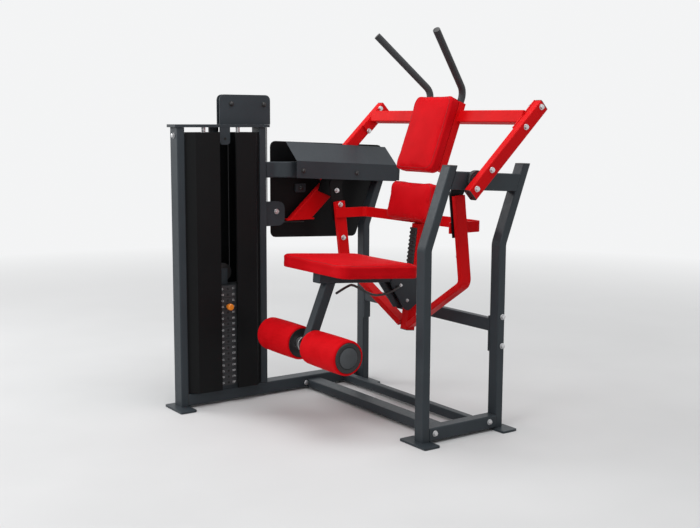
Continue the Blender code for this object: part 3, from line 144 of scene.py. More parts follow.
def startMaterial(name):
    mat = bpy.data.materials.new(name)
    mat.use_nodes = True
    tree = mat.node_tree
    tree.nodes.clear()
    out = tree.nodes.new("ShaderNodeOutputMaterial")
    shader = tree.nodes.new("ShaderNodeBsdfPrincipled")
    tree.links.new(shader.outputs["BSDF"], out.inputs["Surface"])
    coords = tree.nodes.new("ShaderNodeTexCoord")
    finishes[name] = mat
    return tree, shader, coords.outputs["Object"]


def noiseOn(tree, place, scale, detail=2.0, rough=0.5, stretch=None):
    noise = tree.nodes.new("ShaderNodeTexNoise")
    noise.inputs["Scale"].default_value = scale
    noise.inputs["Detail"].default_value = detail
    noise.inputs["Roughness"].default_value = rough
    if stretch:
        mapping = tree.nodes.new("ShaderNodeMapping")
        mapping.inputs["Scale"].default_value = stretch
        tree.links.new(place, mapping.inputs["Vector"])
        place = mapping.outputs["Vector"]
    tree.links.new(place, noise.inputs["Vector"])
    return noise.outputs["Fac"]


def rampOf(tree, value, low, high, start=0.3, end=0.7):
    ramp = tree.nodes.new("ShaderNodeValToRGB")
    ramp.color_ramp.elements[0].position = start
    ramp.color_ramp.elements[1].position = end
    ramp.color_ramp.elements[0].color = (*low, 1)
    ramp.color_ramp.elements[1].color = (*high, 1)
    tree.links.new(value, ramp.inputs["Fac"])
    return ramp.outputs["Color"]


def spread(tree, value, low, high, start=0.3, end=0.7):
    node = tree.nodes.new("ShaderNodeMapRange")
    for key, number in (("From Min", start), ("From Max", end), ("To Min", low), ("To Max", high)):
        node.inputs[key].default_value = number
    tree.links.new(value, node.inputs["Value"])
    return node.outputs["Result"]


def bumpFrom(tree, height, strength, distance, under=None):
    bump = tree.nodes.new("ShaderNodeBump")
    bump.inputs["Strength"].default_value = strength
    bump.inputs["Distance"].default_value = distance
    tree.links.new(height, bump.inputs["Height"])
    if under:
        tree.links.new(under, bump.inputs["Normal"])
    return bump.outputs["Normal"]


def tinted(colour, factor):
    return tuple(min(1.0, c * factor) for c in colour)


def mathOf(tree, operation, first, second):
    node = tree.nodes.new("ShaderNodeMath")
    node.operation = operation
    tree.links.new(first, node.inputs[0])
    tree.links.new(second, node.inputs[1])
    return node.outputs["Value"]


def roundEdge(tree, radius):
    node = tree.nodes.new("ShaderNodeBevel")
    node.samples = 4
    node.inputs["Radius"].default_value = radius
    return node.outputs["Normal"]


edgeWearAndHighlight = {"turned": 0.72, "flat": 0.985}  # cosines between a rounded edge and its face


# how far a rounded edge turns from the flat face: where a coat thins and shows wear, and where a painted
# highlight lightens the edge
def edgeMask(tree, edge):
    face = tree.nodes.new("ShaderNodeNewGeometry")
    dot = tree.nodes.new("ShaderNodeVectorMath")
    dot.operation = "DOT_PRODUCT"
    tree.links.new(face.outputs["True Normal"], dot.inputs[0])
    tree.links.new(edge, dot.inputs[1])
    return spread(tree, dot.outputs["Value"], 1.0, 0.0, edgeWearAndHighlight["turned"], edgeWearAndHighlight["flat"])


def mixColour(tree, mask, first, second):
    mix = tree.nodes.new("ShaderNodeMix")
    mix.data_type = "RGBA"
    tree.links.new(mask, mix.inputs["Factor"])
    tree.links.new(first, mix.inputs["A"])
    tree.links.new(second, mix.inputs["B"])
    return mix.outputs["Result"]


powderCoats = {  # colour, worn and painted-highlight edge colour, mean roughness, gloss
    "grey_paint": ((0.031, 0.039, 0.046), (0.10, 0.115, 0.13), 0.42, 0.22),
    "red_paint": ((0.62, 0.0034, 0.0055), (0.72, 0.04, 0.03), 0.44, 0.08),
    "black_sheet": ((0.0042, 0.0045, 0.0050), (0.028, 0.030, 0.032), 0.46, 0.14),
}


def powderCoat(name):
    colour, wornAndLitEdge, rough, gloss = powderCoats[name]
    tree, shader, place = startMaterial(name)
    edge = roundEdge(tree, 0.0016)
    clouds = noiseOn(tree, place, 5.0, 4.0)
    scuffs = noiseOn(tree, place, 60.0, 6.0, 0.7)
    base = rampOf(tree, clouds, tinted(colour, 0.90), tinted(colour, 1.10))
    # painted highlight and wear: rounded edges take the lighter edge colour, broken up by scuff noise
    chipsAndEdgeHighlight = mathOf(tree, "MULTIPLY", edgeMask(tree, edge), spread(tree, scuffs, 0.15, 0.75, 0.45, 0.65))
    wornAndLitTone = rampOf(tree, scuffs, tinted(wornAndLitEdge, 0.85), tinted(wornAndLitEdge, 1.15))
    tree.links.new(mixColour(tree, chipsAndEdgeHighlight, base, wornAndLitTone), shader.inputs["Base Color"])
    tree.links.new(spread(tree, scuffs, rough - 0.05, rough + 0.08), shader.inputs["Roughness"])
    peel = noiseOn(tree, place, 520.0, 2.0)
    tree.links.new(bumpFrom(tree, peel, 0.10, 0.0006, edge), shader.inputs["Normal"])
    shader.inputs["Specular IOR Level"].default_value = gloss


def paddingVinyl():
    tree, shader, place = startMaterial("red_vinyl")
    tone = rampOf(tree, noiseOn(tree, place, 9.0, 4.0), (0.53, 0.0020, 0.0055), (0.62, 0.0040, 0.0090))
    cells = tree.nodes.new("ShaderNodeTexVoronoi")  # pebble grain of the cover
    cells.feature = "SMOOTH_F1"
    cells.inputs["Scale"].default_value = 520.0
    tree.links.new(place, cells.inputs["Vector"])
    creases = noiseOn(tree, place, 34.0, 3.0, 0.6)
    grain = bumpFrom(tree, cells.outputs["Distance"], 0.30, 0.0008)
    tree.links.new(bumpFrom(tree, creases, 0.06, 0.004, grain), shader.inputs["Normal"])
    tree.links.new(tone, shader.inputs["Base Color"])
    shine = spread(tree, cells.outputs["Distance"], 0.48, 0.62, 0.1, 0.6)
    tree.links.new(shine, shader.inputs["Roughness"])
    shader.inputs["Specular IOR Level"].default_value = 0.05


def rollerFoam():
    tree, shader, place = startMaterial("red_foam")
    pores = noiseOn(tree, place, 700.0, 3.0, 0.7)
    tone = rampOf(tree, noiseOn(tree, place, 14.0, 3.0), (0.54, 0.0024, 0.0055), (0.63, 0.0044, 0.0090))
    tree.links.new(tone, shader.inputs["Base Color"])
    tree.links.new(spread(tree, pores, 0.62, 0.80), shader.inputs["Roughness"])
    tree.links.new(bumpFrom(tree, pores, 0.35, 0.0010), shader.inputs["Normal"])
    shader.inputs["Specular IOR Level"].default_value = 0.04


mouldings = {  # colour, mean roughness, grain scale, grain depth, edge radius
    "black_plastic": ((0.011, 0.011, 0.012), 0.42, 420.0, 0.12, 0.001),
    "black_grip": ((0.021, 0.024, 0.027), 0.58, 900.0, 0.30, 0.0),
    "cable": ((0.020, 0.020, 0.022), 0.40, 600.0, 0.15, 0.0),
    "orange_knob": ((0.80, 0.23, 0.012), 0.30, 300.0, 0.05, 0.0),
    "hubGrey": ((0.045, 0.050, 0.055), 0.45, 500.0, 0.15, 0.0),
    "markWhite": ((0.62, 0.63, 0.64), 0.55, 500.0, 0.08, 0.0),
    # darker red thread: painted shade along the seam's crease
    "seamShadeRed": ((0.30, 0.0025, 0.005), 0.60, 800.0, 0.30, 0.0),
    # painted shade: near-black for the inside of drilled holes
    "paintedHoleShade": ((0.004, 0.004, 0.004), 0.80, 300.0, 0.10, 0.0),
}


def moulded(name):
    colour, rough, grain, depth, edge = mouldings[name]
    tree, shader, place = startMaterial(name)
    under = roundEdge(tree, edge) if edge else None
    speck = noiseOn(tree, place, grain, 3.0, 0.6)
    tone = rampOf(tree, noiseOn(tree, place, 20.0, 4.0), tinted(colour, 0.85), tinted(colour, 1.20))
    tree.links.new(tone, shader.inputs["Base Color"])
    tree.links.new(spread(tree, speck, rough - 0.06, rough + 0.08), shader.inputs["Roughness"])
    tree.links.new(bumpFrom(tree, speck, depth, 0.0008, under), shader.inputs["Normal"])


def platedSteel(name, colour, rough, stretch):
    tree, shader, place = startMaterial(name)
    lines = noiseOn(tree, place, 240.0, 3.0, 0.6, stretch)
    blotch = noiseOn(tree, place, 40.0, 4.0)
    tone = rampOf(tree, blotch, tinted(colour, 0.82), tinted(colour, 1.10))
    tree.links.new(tone, shader.inputs["Base Color"])
    tree.links.new(spread(tree, lines, rough - 0.08, rough + 0.12), shader.inputs["Roughness"])
    tree.links.new(bumpFrom(tree, lines, 0.08, 0.0004), shader.inputs["Normal"])
    shader.inputs["Metallic"].default_value = 1.0


def castPlates():
    tree, shader, place = startMaterial("iron")
    rust = noiseOn(tree, place, 90.0, 6.0, 0.65)
    under = roundEdge(tree, 0.001)
    tone = rampOf(tree, rust, (0.014, 0.015, 0.017), (0.034, 0.036, 0.040))
    tree.links.new(tone, shader.inputs["Base Color"])
    tree.links.new(spread(tree, rust, 0.42, 0.60), shader.inputs["Roughness"])
    tree.links.new(bumpFrom(tree, rust, 0.25, 0.0010, under), shader.inputs["Normal"])


for coat in powderCoats:
    powderCoat(coat)
paddingVinyl()
rollerFoam()
castPlates()
for moulding in mouldings:
    moulded(moulding)
platedSteel("zinc", (0.62, 0.62, 0.63), 0.34, (1.0, 1.0, 0.08))
for name, node in nodes.items():
    node.data.materials.clear()
    node.data.materials.append(finishes[slotOf[name]])
print("finishes:", len(finishes))


# pieces
def finishPiece(name, bm, finish, body, smooth=40.0):
    mesh = bpy.data.meshes.new(name)
    bm.to_mesh(mesh)
    bm.free()
    mesh.shade_smooth()
    mesh.set_sharp_from_angle(angle=math.radians(smooth))
    mesh.materials.append(finishes[finish])
    piece = addObject(name, mesh)
    if body:
        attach(piece, body)
    return piece


# outward: the direction that the shape's own Z takes
def facing(point, outward):
    turn = Vector((0, 0, 1)).rotation_difference(Vector(outward)).to_matrix().to_4x4()
    return Matrix.Translation(point) @ turn


# a profile of (radius, height) pairs turned round Z, then placed
def turnedShape(profile, matrix, steps=32):
    bm = bmesh.new()
    verts = [bm.verts.new((radius, 0, height)) for radius, height in profile]
    edges = [bm.edges.new(pair) for pair in zip(verts, verts[1:])]
    bmesh.ops.spin(bm, geom=verts + edges, cent=(0, 0, 0), axis=(0, 0, 1), angle=2 * math.pi,
                   steps=steps, use_merge=True, use_duplicate=False)
    bmesh.ops.remove_doubles(bm, verts=bm.verts, dist=weld["fine"])
    bmesh.ops.recalc_face_normals(bm, faces=bm.faces)
    bmesh.ops.transform(bm, matrix=matrix, verts=bm.verts)
    return bm


# put a finished shape into a larger one
def addShape(target, part):
    holder = bpy.data.meshes.new("holder")
    part.to_mesh(holder)
    part.free()
    target.from_mesh(holder)
    bpy.data.meshes.remove(holder)


bolt = {"flats": 0.0190, "headTall": 0.0075, "chamfer": 0.0012, "washer": 0.0135, "washerThick": 0.0025,
        "washerWall": 0.7, "washerEdge": 0.0006}  # the wall is a share of the thickness


def hexBolt(bm, point, outward, scale):
    place = facing(point, outward) @ Matrix.Scale(scale, 4)
    ring, thick = bolt["washer"], bolt["washerThick"]
    wall, rim = thick * bolt["washerWall"], ring - bolt["washerEdge"]
    profile = [(0, 0), (ring, 0), (ring, wall), (rim, thick), (0, thick)]
    addShape(bm, turnedShape(profile, place))
    head = bmesh.new()
    bmesh.ops.create_circle(head, cap_ends=True, segments=6, radius=bolt["flats"] / math.sqrt(3))
    bmesh.ops.translate(head, vec=(0, 0, thick), verts=head.verts)
    grown = bmesh.ops.extrude_face_region(head, geom=head.faces[:])["geom"]
    top = [v for v in grown if isinstance(v, bmesh.types.BMVert)]
    bmesh.ops.translate(head, vec=(0, 0, bolt["headTall"]), verts=top)
    rim = [e for e in head.edges if all(v in top for v in e.verts)]
    bmesh.ops.bevel(head, geom=rim, offset=bolt["chamfer"], offset_type="OFFSET", segments=2, profile=0.5,
                    affect="EDGES", material=-1)
    bmesh.ops.recalc_face_normals(head, faces=head.faces)
    bmesh.ops.transform(head, matrix=place, verts=head.verts)
    addShape(bm, head)


domeNut = {"radius": 0.0105, "tall": 0.0085, "rounds": 6, "foot": 0.001,
           "washer": 0.0135, "washerThick": 0.0025, "washerWall": 0.0018}


def domedNut(bm, point, outward):
    ring, radius, tall, thick = (domeNut[key] for key in ("washer", "radius", "tall", "washerThick"))
    profile = [(0, 0), (ring, 0), (ring, domeNut["washerWall"]), (radius + domeNut["foot"], thick)]
    angles = quarterTurn(domeNut["rounds"])[:-1]
    profile += [(radius * math.cos(a), thick + tall * math.sin(a)) for a in angles]
    profile.append((0, thick + tall))
    addShape(bm, turnedShape(profile, facing(point, outward)))


boltSets = {  # node: the picture's pixels of its bolt heads; both: the other side has them too
    "arm_left": {"at": ((541.5, 107), (526, 127), (492, 170), (477, 189)), "both": True},
    "hanger_bar_right": {"at": ((340.4, 204.6), (343.4, 237.5)), "both": True},
    "hanger_plate_right": {"at": ((336.8, 190.5),)},
    "upper_frame": {"at": ((380.5, 108.5), (369, 131)), "both": True},
    "ear_bracket": {"at": ((276.5, 211.5),)},
    "left_base_bar": {"at": ((435, 433.5), (489.5, 422))},
    "left_rear_upright": {"at": ((502.5, 317), (502, 346)), "both": True},
    "base_bar": {"at": ((306.5, 382.5),)},
    "seat_carriage": {"at": ((400.8, 285.3), (407.2, 300.5)), "both": True, "scale": 0.62},
    "rack_strip": {"at": ((413, 227),), "scale": 0.55},
    "stack_front_upright": {"at": ((173.5, 135.5),)},
}
domeSets = {"hood_cover": ((303.5, 170.8), (357, 173.2)),
            "pulley_plate_inner": ((231.2, 103.8), (263.6, 104.5))}


def placeBolts():
    made = {}
    for node, facts in boltSets.items():
        bm = made.setdefault(bodyOf[node], bmesh.new())
        scale = facts.get("scale", 1.0)
        for x, y in facts["at"]:
            hit = underPixel(x, y, node)
            if hit is None:
                print("bolt misses", node, x, y)
                continue
            point, outward = hit
            hexBolt(bm, point, outward, scale)
            if facts.get("both"):
                mirrored = Vector((2 * midX - point.x, point.y, point.z))
                hexBolt(bm, mirrored, (-outward.x, outward.y, outward.z), scale)
    for body, bm in made.items():
        finishPiece("bolts_" + body, bm, "zinc", body, smooth=30.0)
    for node, pixels in domeSets.items():
        bm = bmesh.new()
        for x, y in pixels:
            domedNut(bm, *underPixel(x, y, node))
        finishPiece("domeNuts_" + node, bm, "black_plastic", bodyOf[node])
    print("bolts on:", ", ".join(made))


placeBolts()

# towards and flat: least cosines to the end's direction and to its face; level: off the face's plane
plugs = {"thick": 0.004, "round": 0.0015, "towards": 0.8, "flat": 0.999, "level": 2e-4, "ends": (
    ("left_front_upright", (0, 0, 1)), ("left_rear_upright", (0, 0, 1)),
    ("arm_left", (0, -1, -1)), ("arm_right", (0, -1, -1)),
    ("arm_left", (0, 1, 1)), ("arm_right", (0, 1, 1)),
    ("seat_post", (0, 0, -1)), ("base_bar", (0, -1, 0)), ("right_top_bar", (0, 1, 0)),
    ("handle_left", (0.29, -0.63, 0.72)), ("handle_right", (-0.29, -0.63, 0.72)),
)}


# a plastic plug over a tube's open end, cut from the end's own outline
def tubePlug(name, node, direction):
    bm = nodeMesh(node, weld["node"])
    along = Vector(direction).normalized()
    facesOut = [f for f in bm.faces if f.normal.dot(along) > plugs["towards"]]
    best = max(facesOut, key=lambda f: f.calc_center_median().dot(along))
    normal, reach = best.normal.copy(), best.calc_center_median().dot(best.normal)
    end = {f for f in facesOut if f.normal.dot(normal) > plugs["flat"]
           and abs(f.calc_center_median().dot(normal) - reach) < plugs["level"]}
    bmesh.ops.delete(bm, geom=[f for f in bm.faces if f not in end], context="FACES")
    bmesh.ops.dissolve_faces(bm, faces=bm.faces)
    grown = bmesh.ops.extrude_face_region(bm, geom=bm.faces[:])["geom"]
    top = [v for v in grown if isinstance(v, bmesh.types.BMVert)]
    bmesh.ops.translate(bm, vec=normal * plugs["thick"], verts=top)
    bmesh.ops.recalc_face_normals(bm, faces=bm.faces)
    rim = [e for e in bm.edges if all(v in top for v in e.verts)]
    bmesh.ops.bevel(bm, geom=rim, offset=plugs["round"], offset_type="OFFSET", segments=3, profile=0.5,
                    affect="EDGES", material=-1)
    finishPiece(name, bm, "black_plastic", bodyOf[node])


for count, (node, direction) in enumerate(plugs["ends"]):
    tubePlug("plug_%d_%s" % (count, node), node, direction)
print("tube plugs:", len(plugs["ends"]))

# upholstery; board: the cosine past which a face lies on the pad's board
stuffing = {"voxel": 0.0055, "evenBy": 0.5, "evenTimes": 4, "shrink": 0.004, "board": 0.6, "pressure": 4.0,
            "quality": 5, "frames": 20, "cap": 0.006, "fill": 0.85}


def moveTo(mesh, points):
    mesh.vertices.foreach_set("co", [c for p in points for c in p])
    mesh.update()


# a pad's solid as an even net of small faces
def evenCover(name, node):
    mesh = bpy.data.meshes.new(name)
    bm = nodeMesh(node, weld["pad"])
    bm.to_mesh(mesh)
    bm.free()
    pad = addObject(name, mesh)
    remesh = pad.modifiers.new("voxels", "REMESH")
    remesh.mode = "VOXEL"
    remesh.voxel_size = stuffing["voxel"]
    smooth = pad.modifiers.new("even", "SMOOTH")
    smooth.factor = stuffing["evenBy"]
    smooth.iterations = stuffing["evenTimes"]
    even = evaluatedMesh(pad)
    pad.modifiers.clear()
    pad.data = even
    return pad


# pressure from inside: points on the board keep to its plane, and none travels past the cap
def swellCover(pad, rest, flat, back):
    cloth = pad.modifiers.new("swell", "CLOTH")
    cloth.settings.use_pressure = True
    cloth.settings.uniform_pressure_force = stuffing["pressure"]
    cloth.settings.effector_weights.gravity = 0
    cloth.settings.quality = stuffing["quality"]
    cloth.point_cache.frame_start = 1
    cloth.point_cache.frame_end = stuffing["frames"]
    for step in range(1, stuffing["frames"] + 1):
        bpy.context.scene.frame_set(step)
    swollen = pad.evaluated_get(bpy.context.evaluated_depsgraph_get()).data
    moved = []
    for start, vertex, onBoard in zip(rest, swollen.vertices, flat):
        shift = vertex.co - start
        if onBoard:
            shift -= back * shift.dot(back)
        if shift.length > stuffing["cap"]:
            shift *= stuffing["cap"] / shift.length
        moved.append(start + shift)
    pad.modifiers.remove(cloth)
    moveTo(pad.data, moved)
    bpy.context.scene.frame_set(1)


# back: the direction of the board that the pad is stapled to, which stays flat
def stuffedPad(node, back):
    pad = evenCover(node + "_cover", node)
    cover = pad.data
    back = Vector(back).normalized()
    flat = [v.normal.dot(back) > stuffing["board"] for v in cover.vertices]
    shrinks = [0.0 if onBoard else stuffing["shrink"] for onBoard in flat]
    rest = [v.co - v.normal * shrink for v, shrink in zip(cover.vertices, shrinks)]
    moveTo(cover, rest)
    swellCover(pad, rest, flat, back)
    cover.shade_smooth()
    cover.materials.clear()
    cover.materials.append(finishes["red_vinyl"])
    fine = pad.modifiers.new("fine", "SUBSURF")
    fine.levels = fine.render_levels = 1
    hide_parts(node)
    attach(pad, bodyOf[node])
    return pad


seam = {"inset": 0.011, "corner": 0.036, "steps": 7, "spacing": 0.012, "above": 0.3, "proud": 0.0002,
        "thread": 0.0011, "rounds": 2}


# a rectangle with round corners just inside the cover's outline, in even steps
def seamPath(points, across, along):
    middle = sum(points, Vector()) / len(points)
    reach = [max(abs((p - middle).dot(axis)) for p in points) - seam["inset"] - seam["corner"]
             for axis in (across, along)]
    corners = []
    for quarter, (a, b) in enumerate(((1, 1), (-1, 1), (-1, -1), (1, -1))):
        centre = middle + across * a * reach[0] + along * b * reach[1]
        for step in range(seam["steps"] + 1):
            angle = math.pi / 2 * (quarter + step / seam["steps"])
            corners.append(centre + (across * math.cos(angle) + along * math.sin(angle)) * seam["corner"])
    path = []
    for first, last in zip(corners, corners[1:] + corners[:1]):
        parts = max(1, round((last - first).length / seam["spacing"]))
        path += [first.lerp(last, s / parts) for s in range(parts)]
    return path


# the sewn line where the front panel meets the border, laid on the stuffed cover; its darker red is painted
# shade of the seam's crease
def sewnSeam(pad, node, back):
    cover = pad.evaluated_get(bpy.context.evaluated_depsgraph_get()).to_mesh()
    points = [v.co.copy() for v in cover.vertices]
    surface = BVHTree.FromPolygons(points, [tuple(f.vertices) for f in cover.polygons])
    out = -Vector(back).normalized()
    across = Vector((1, 0, 0))
    path = seamPath(points, across, out.cross(across))
    line = bpy.data.curves.new(node + "_seam", "CURVE")
    line.dimensions = "3D"
    line.bevel_depth = seam["thread"]
    line.bevel_resolution = seam["rounds"]
    spline = line.splines.new("POLY")
    spline.points.add(len(path) - 1)
    spline.use_cyclic_u = True
    for point, spot in zip(spline.points, path):
        hit = surface.ray_cast(spot + out * seam["above"], -out)[0]
        point.co = (*(hit + out * seam["proud"]), 1)
    holder = addObject(node + "_seam", line)
    mesh = evaluatedMesh(holder)
    bpy.data.objects.remove(holder)
    bm = bmesh.new()
    bm.from_mesh(mesh)
    finishPiece(node + "_seam", bm, "seamShadeRed", bodyOf[node], smooth=80.0)


padBacks = {"upper_pad": (0, 1, -0.374), "lumbar_pad": (0, 1, -0.2126), "seat_pad": (0, 0.07, -1)}
for node, back in padBacks.items():
    sewnSeam(stuffedPad(node, back), node, back)
print("pads stuffed:", len(padBacks))

roller = {"foam": 0.080, "core": 0.069, "cap": 0.048, "axle": 0.0155, "inner": 0.052, "edge": 0.009,
          "rounds": 6, "dish": 0.002, "swell": 0.0015, "swellSteps": 8, "coreClear": 0.0004, "lip": 0.001,
          "chamfer": 0.002, "bush": 0.034, "bushFrom": 0.0305, "capTall": 0.0045,
          "capRim": ((0.0006, 0.0003), (0.001, 0.002), (0.003, 0.003))}  # in from its edge, out from the end


# the sleeve's outline: round ends, a slightly swollen middle and a shallow dish at each end
def foamProfile(inner, outer):
    core, foam, edge, dish = (roller[key] for key in ("core", "foam", "edge", "dish"))
    arcs = [(1 - math.cos(a), math.sin(a)) for a in quarterTurn(roller["rounds"])[1:]]
    middle = (inner + outer) / 2
    half = middle - inner - edge
    shares = [s / roller["swellSteps"] for s in range(1 - roller["swellSteps"], roller["swellSteps"])]
    profile = [(core, inner + dish), (foam - edge, inner)]
    profile += [(foam - edge + edge * up, inner + edge * run) for run, up in arcs]
    profile += [(foam + roller["swell"] * (1 - t * t), middle + half * t) for t in shares]
    profile += [(foam - edge + edge * up, outer - edge * run) for run, up in reversed(arcs)]
    return profile + [(foam - edge, outer), (core, outer - dish), (core, inner + dish)]


# foam sleeve on a plastic core with a disc over the axle's end
def footRoller(side):
    node = "roller_" + side
    low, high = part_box(node)
    axle = jointPlace[node + "_spin"]
    place = facing(axle, (1 if side == "left" else -1, 0, 0))
    outer = max(abs(low.x - axle.x), abs(high.x - axle.x))
    inner, bore, cap, lip, chamfer = (roller[key] for key in ("inner", "axle", "cap", "lip", "chamfer"))
    shape = turnedShape(foamProfile(inner, outer), place, 64)
    sleeve = finishPiece(node + "_foam", shape, "red_foam", node, smooth=60.0)
    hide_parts(node)
    core = roller["core"] - roller["coreClear"]
    profile = [(bore, inner + lip), (core - chamfer, inner + lip), (core, inner + lip + chamfer),
               (core, outer - lip), (core - lip - chamfer, outer + chamfer), (cap + chamfer, outer + lip),
               (cap, outer - lip), (bore, outer - lip), (bore, inner + lip)]
    finishPiece(node + "_core", turnedShape(profile, place, 64), "black_plastic", node, smooth=35.0)
    profile = [(cap - back, outer + out) for back, out in roller["capRim"]]
    profile = [(0, profile[0][1])] + profile + [(0, outer + roller["capTall"])]
    finishPiece(node + "_cap", turnedShape(profile, place, 48), "hubGrey", node, smooth=35.0)
    start, bush = roller["bushFrom"], roller["bush"]
    profile = [(bore, start), (bush - lip, start), (bush, start + lip), (bush, inner - lip),
               (bush - lip, inner), (bore, inner), (bore, start)]
    finishPiece(node + "_bush", turnedShape(profile, place, 48), "zinc", node, smooth=35.0)


for side in ("left", "right"):
    footRoller(side)
print("foot rollers dressed")

bearing = {"inside": 0.0412, "outside": 0.049, "clear": 0.002, "edge": 0.003}


# black bearing ring on the left top bar, round the shaft's flange
def pivotBearing():
    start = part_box("left_top_bar")[1].x - midX
    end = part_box("arm_left")[0].x - midX - bearing["clear"]
    inside, outside, edge = (bearing[key] for key in ("inside", "outside", "edge"))
    profile = [(inside, start), (outside, start), (outside, end - edge), (outside - edge, end), (inside, end),
               (inside, start)]
    ring = turnedShape(profile, facing(swingAxis, (1, 0, 0)), 40)
    finishPiece("pivotBearing_left", ring, "black_plastic", "frame")


pivotBearing()
print("bearing ring on")

holeRim = {"wide": 0.001, "tall": 0.0008}


# a near-black disc, painted shade of the hole's depth, inside a thin raised rim, on a face that looks along
# X; lift: the disc off that face
def drilledHole(point, radius, lift):
    inside, tall = radius - holeRim["wide"], holeRim["tall"]
    profile = [(0, lift), (inside, lift), (inside, tall), (radius, tall), (radius, 0)]
    return turnedShape(profile, facing(point, (1, 0, 0)), 24)


stackMarks = {"pitch": 0.030, "textTall": 0.0135, "column": 0.030, "step": 5, "pounds": 2.2046,
              "proud": 0.0004, "hole": 0.0058, "holeLift": 0.0001, "pinClear": 0.005}


def plateNumber(bm, number, y, z, face):
    letters = bpy.data.curves.new("number", "FONT")
    letters.body = str(number)
    letters.size = stackMarks["textTall"]
    letters.align_x = "CENTER"
    letters.align_y = "CENTER"
    letters.extrude = stackMarks["proud"] / 2
    holder = addObject("number", letters)
    flat = evaluatedMesh(holder)
    flat.transform(Matrix(((0, 0, 1, face + stackMarks["proud"]), (1, 0, 0, y), (0, 1, 0, z), (0, 0, 0, 1))))
    bm.from_mesh(flat)
    bpy.data.objects.remove(holder)
    bpy.data.curves.remove(letters)
    bpy.data.meshes.remove(flat)


# plain plate numbers in two columns, and the pin holes between them as discs of painted shade
def markStack():
    low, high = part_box("weights_resting")
    topLow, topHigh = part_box("weights_lifted")
    pinLow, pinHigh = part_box("selector_pin")
    face = high.x
    midY = (low.y + high.y) / 2
    column, pinClear = stackMarks["column"], stackMarks["pinClear"]
    count = round((topHigh.z - low.z) / stackMarks["pitch"])
    white, dark = ({body: bmesh.new() for body in ("frame", "stack_head")} for _ in range(2))
    for plate in range(count):
        z = topHigh.z - (plate + 0.5) * stackMarks["pitch"]
        body = "stack_head" if z > topLow.z else "frame"
        weight = (plate + 1) * stackMarks["step"]
        plateNumber(white[body], weight, midY - column, z, face)
        plateNumber(white[body], round(weight * stackMarks["pounds"]), midY + column, z, face)
        if not pinLow.z - pinClear < z < pinHigh.z + pinClear:
            addShape(dark[body], drilledHole((face, midY, z), stackMarks["hole"], stackMarks["holeLift"]))
    for body in white:
        finishPiece("plateNumbers_" + body, white[body], "markWhite", body)
        finishPiece("pinHoles_" + body, dark[body], "paintedHoleShade", body)


markStack()
print("stack marked")

# tab for the cable's end under the stack's top plate, and the shield's mounting plate
smallPlates = {"tab": (0.006, 0.056, 0.086), "tabRound": 0.016, "tabDrop": 0.013,
               "tabHole": 0.007, "holeLift": 0.0002, "holeDown": 0.66,
               "mount": (0.012, 0.062, 0.044), "mountRound": 0.012, "mountAt": (299.5, 188.0)}


# a flat plate hanging from the point, its two lower corners round
def hangingPlate(top, size, corner):
    bm = bmesh.new()
    bmesh.ops.create_cube(bm, size=1.0)
    bmesh.ops.scale(bm, vec=size, verts=bm.verts)
    alongX = [e for e in bm.edges if e.verts[0].co.x * e.verts[1].co.x < 0]
    low = [e for e in alongX if all(v.co.z < 0 for v in e.verts)]
    bmesh.ops.bevel(bm, geom=low, offset=corner, offset_type="OFFSET", segments=6, profile=0.5,
                    affect="EDGES", material=-1)
    bmesh.ops.translate(bm, vec=top - Vector((0, 0, size[2] / 2)), verts=bm.verts)
    return bm


def hangPlates():
    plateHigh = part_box("stack_top_plate")[1]
    stackLow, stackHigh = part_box("weights_resting")
    thick, _, tall = smallPlates["tab"]
    midY = (stackLow.y + stackHigh.y) / 2
    top = Vector((plateHigh.x - thick / 2, midY, plateHigh.z - smallPlates["tabDrop"]))
    tab = hangingPlate(top, smallPlates["tab"], smallPlates["tabRound"])
    finishPiece("cableTab", tab, "grey_paint", "frame")
    spot = top + Vector((thick / 2, 0, -tall * smallPlates["holeDown"]))
    # the tab's hole: a disc of painted shade
    hole = drilledHole(spot, smallPlates["tabHole"], smallPlates["holeLift"])
    finishPiece("cableTabHole", hole, "paintedHoleShade", "frame")
    thick, _, tall = smallPlates["mount"]
    spot = underPixel(*smallPlates["mountAt"], "side_shield")[0]
    top = spot + Vector((thick / 2, 0, tall / 2))
    mount = hangingPlate(top, smallPlates["mount"], smallPlates["mountRound"])
    finishPiece("shieldMount", mount, "grey_paint", "frame")
    bm = bmesh.new()
    domedNut(bm, spot + Vector((thick, 0, 0)), (1, 0, 0))
    finishPiece("shieldMountNut", bm, "black_plastic", "frame")


hangPlates()
print("small plates hung")

# cables that change length run between the two things they join; each sheath is cut across its run into even
# slices and tied to neither
# free: the share of the run, from the first one's end, that is left uncut
cableEnds = {
    "head_cable": {"bodies": ("frame", "stack_head"), "way": (0, 0, -1), "free": 0.0, "slices": 24},
    "anchor_cable": {"bodies": ("frame", "stack_head"), "way": (0, 0, -1), "free": 0.0, "slices": 24},
    "lever_cable": {"bodies": ("frame", "arm"), "way": (0, 1, 0), "free": 0.86, "slices": 48},
}


def tautCable(node, facts):
    way = Vector(facts["way"])
    bm = nodeMesh(node, weld["node"])
    reach = [v.co.dot(way) for v in bm.verts]
    middle = sum((v.co for v in bm.verts), Vector()) / len(bm.verts)
    first = min(reach) + (max(reach) - min(reach)) * facts["free"]
    start, end = (middle + way * (stop - middle.dot(way)) for stop in (first, max(reach)))
    for part in range(facts["slices"]):
        bmesh.ops.bisect_plane(bm, geom=bm.verts[:] + bm.edges[:] + bm.faces[:], dist=weld["fine"],
                               plane_co=start.lerp(end, part / facts["slices"]), plane_no=way)
    sheath = finishPiece(node + "_sheath", bm, "cable", None, smooth=50.0)
    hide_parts(node)
    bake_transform(sheath)


for node, facts in cableEnds.items():
    tautCable(node, facts)
print("cables sheathed")

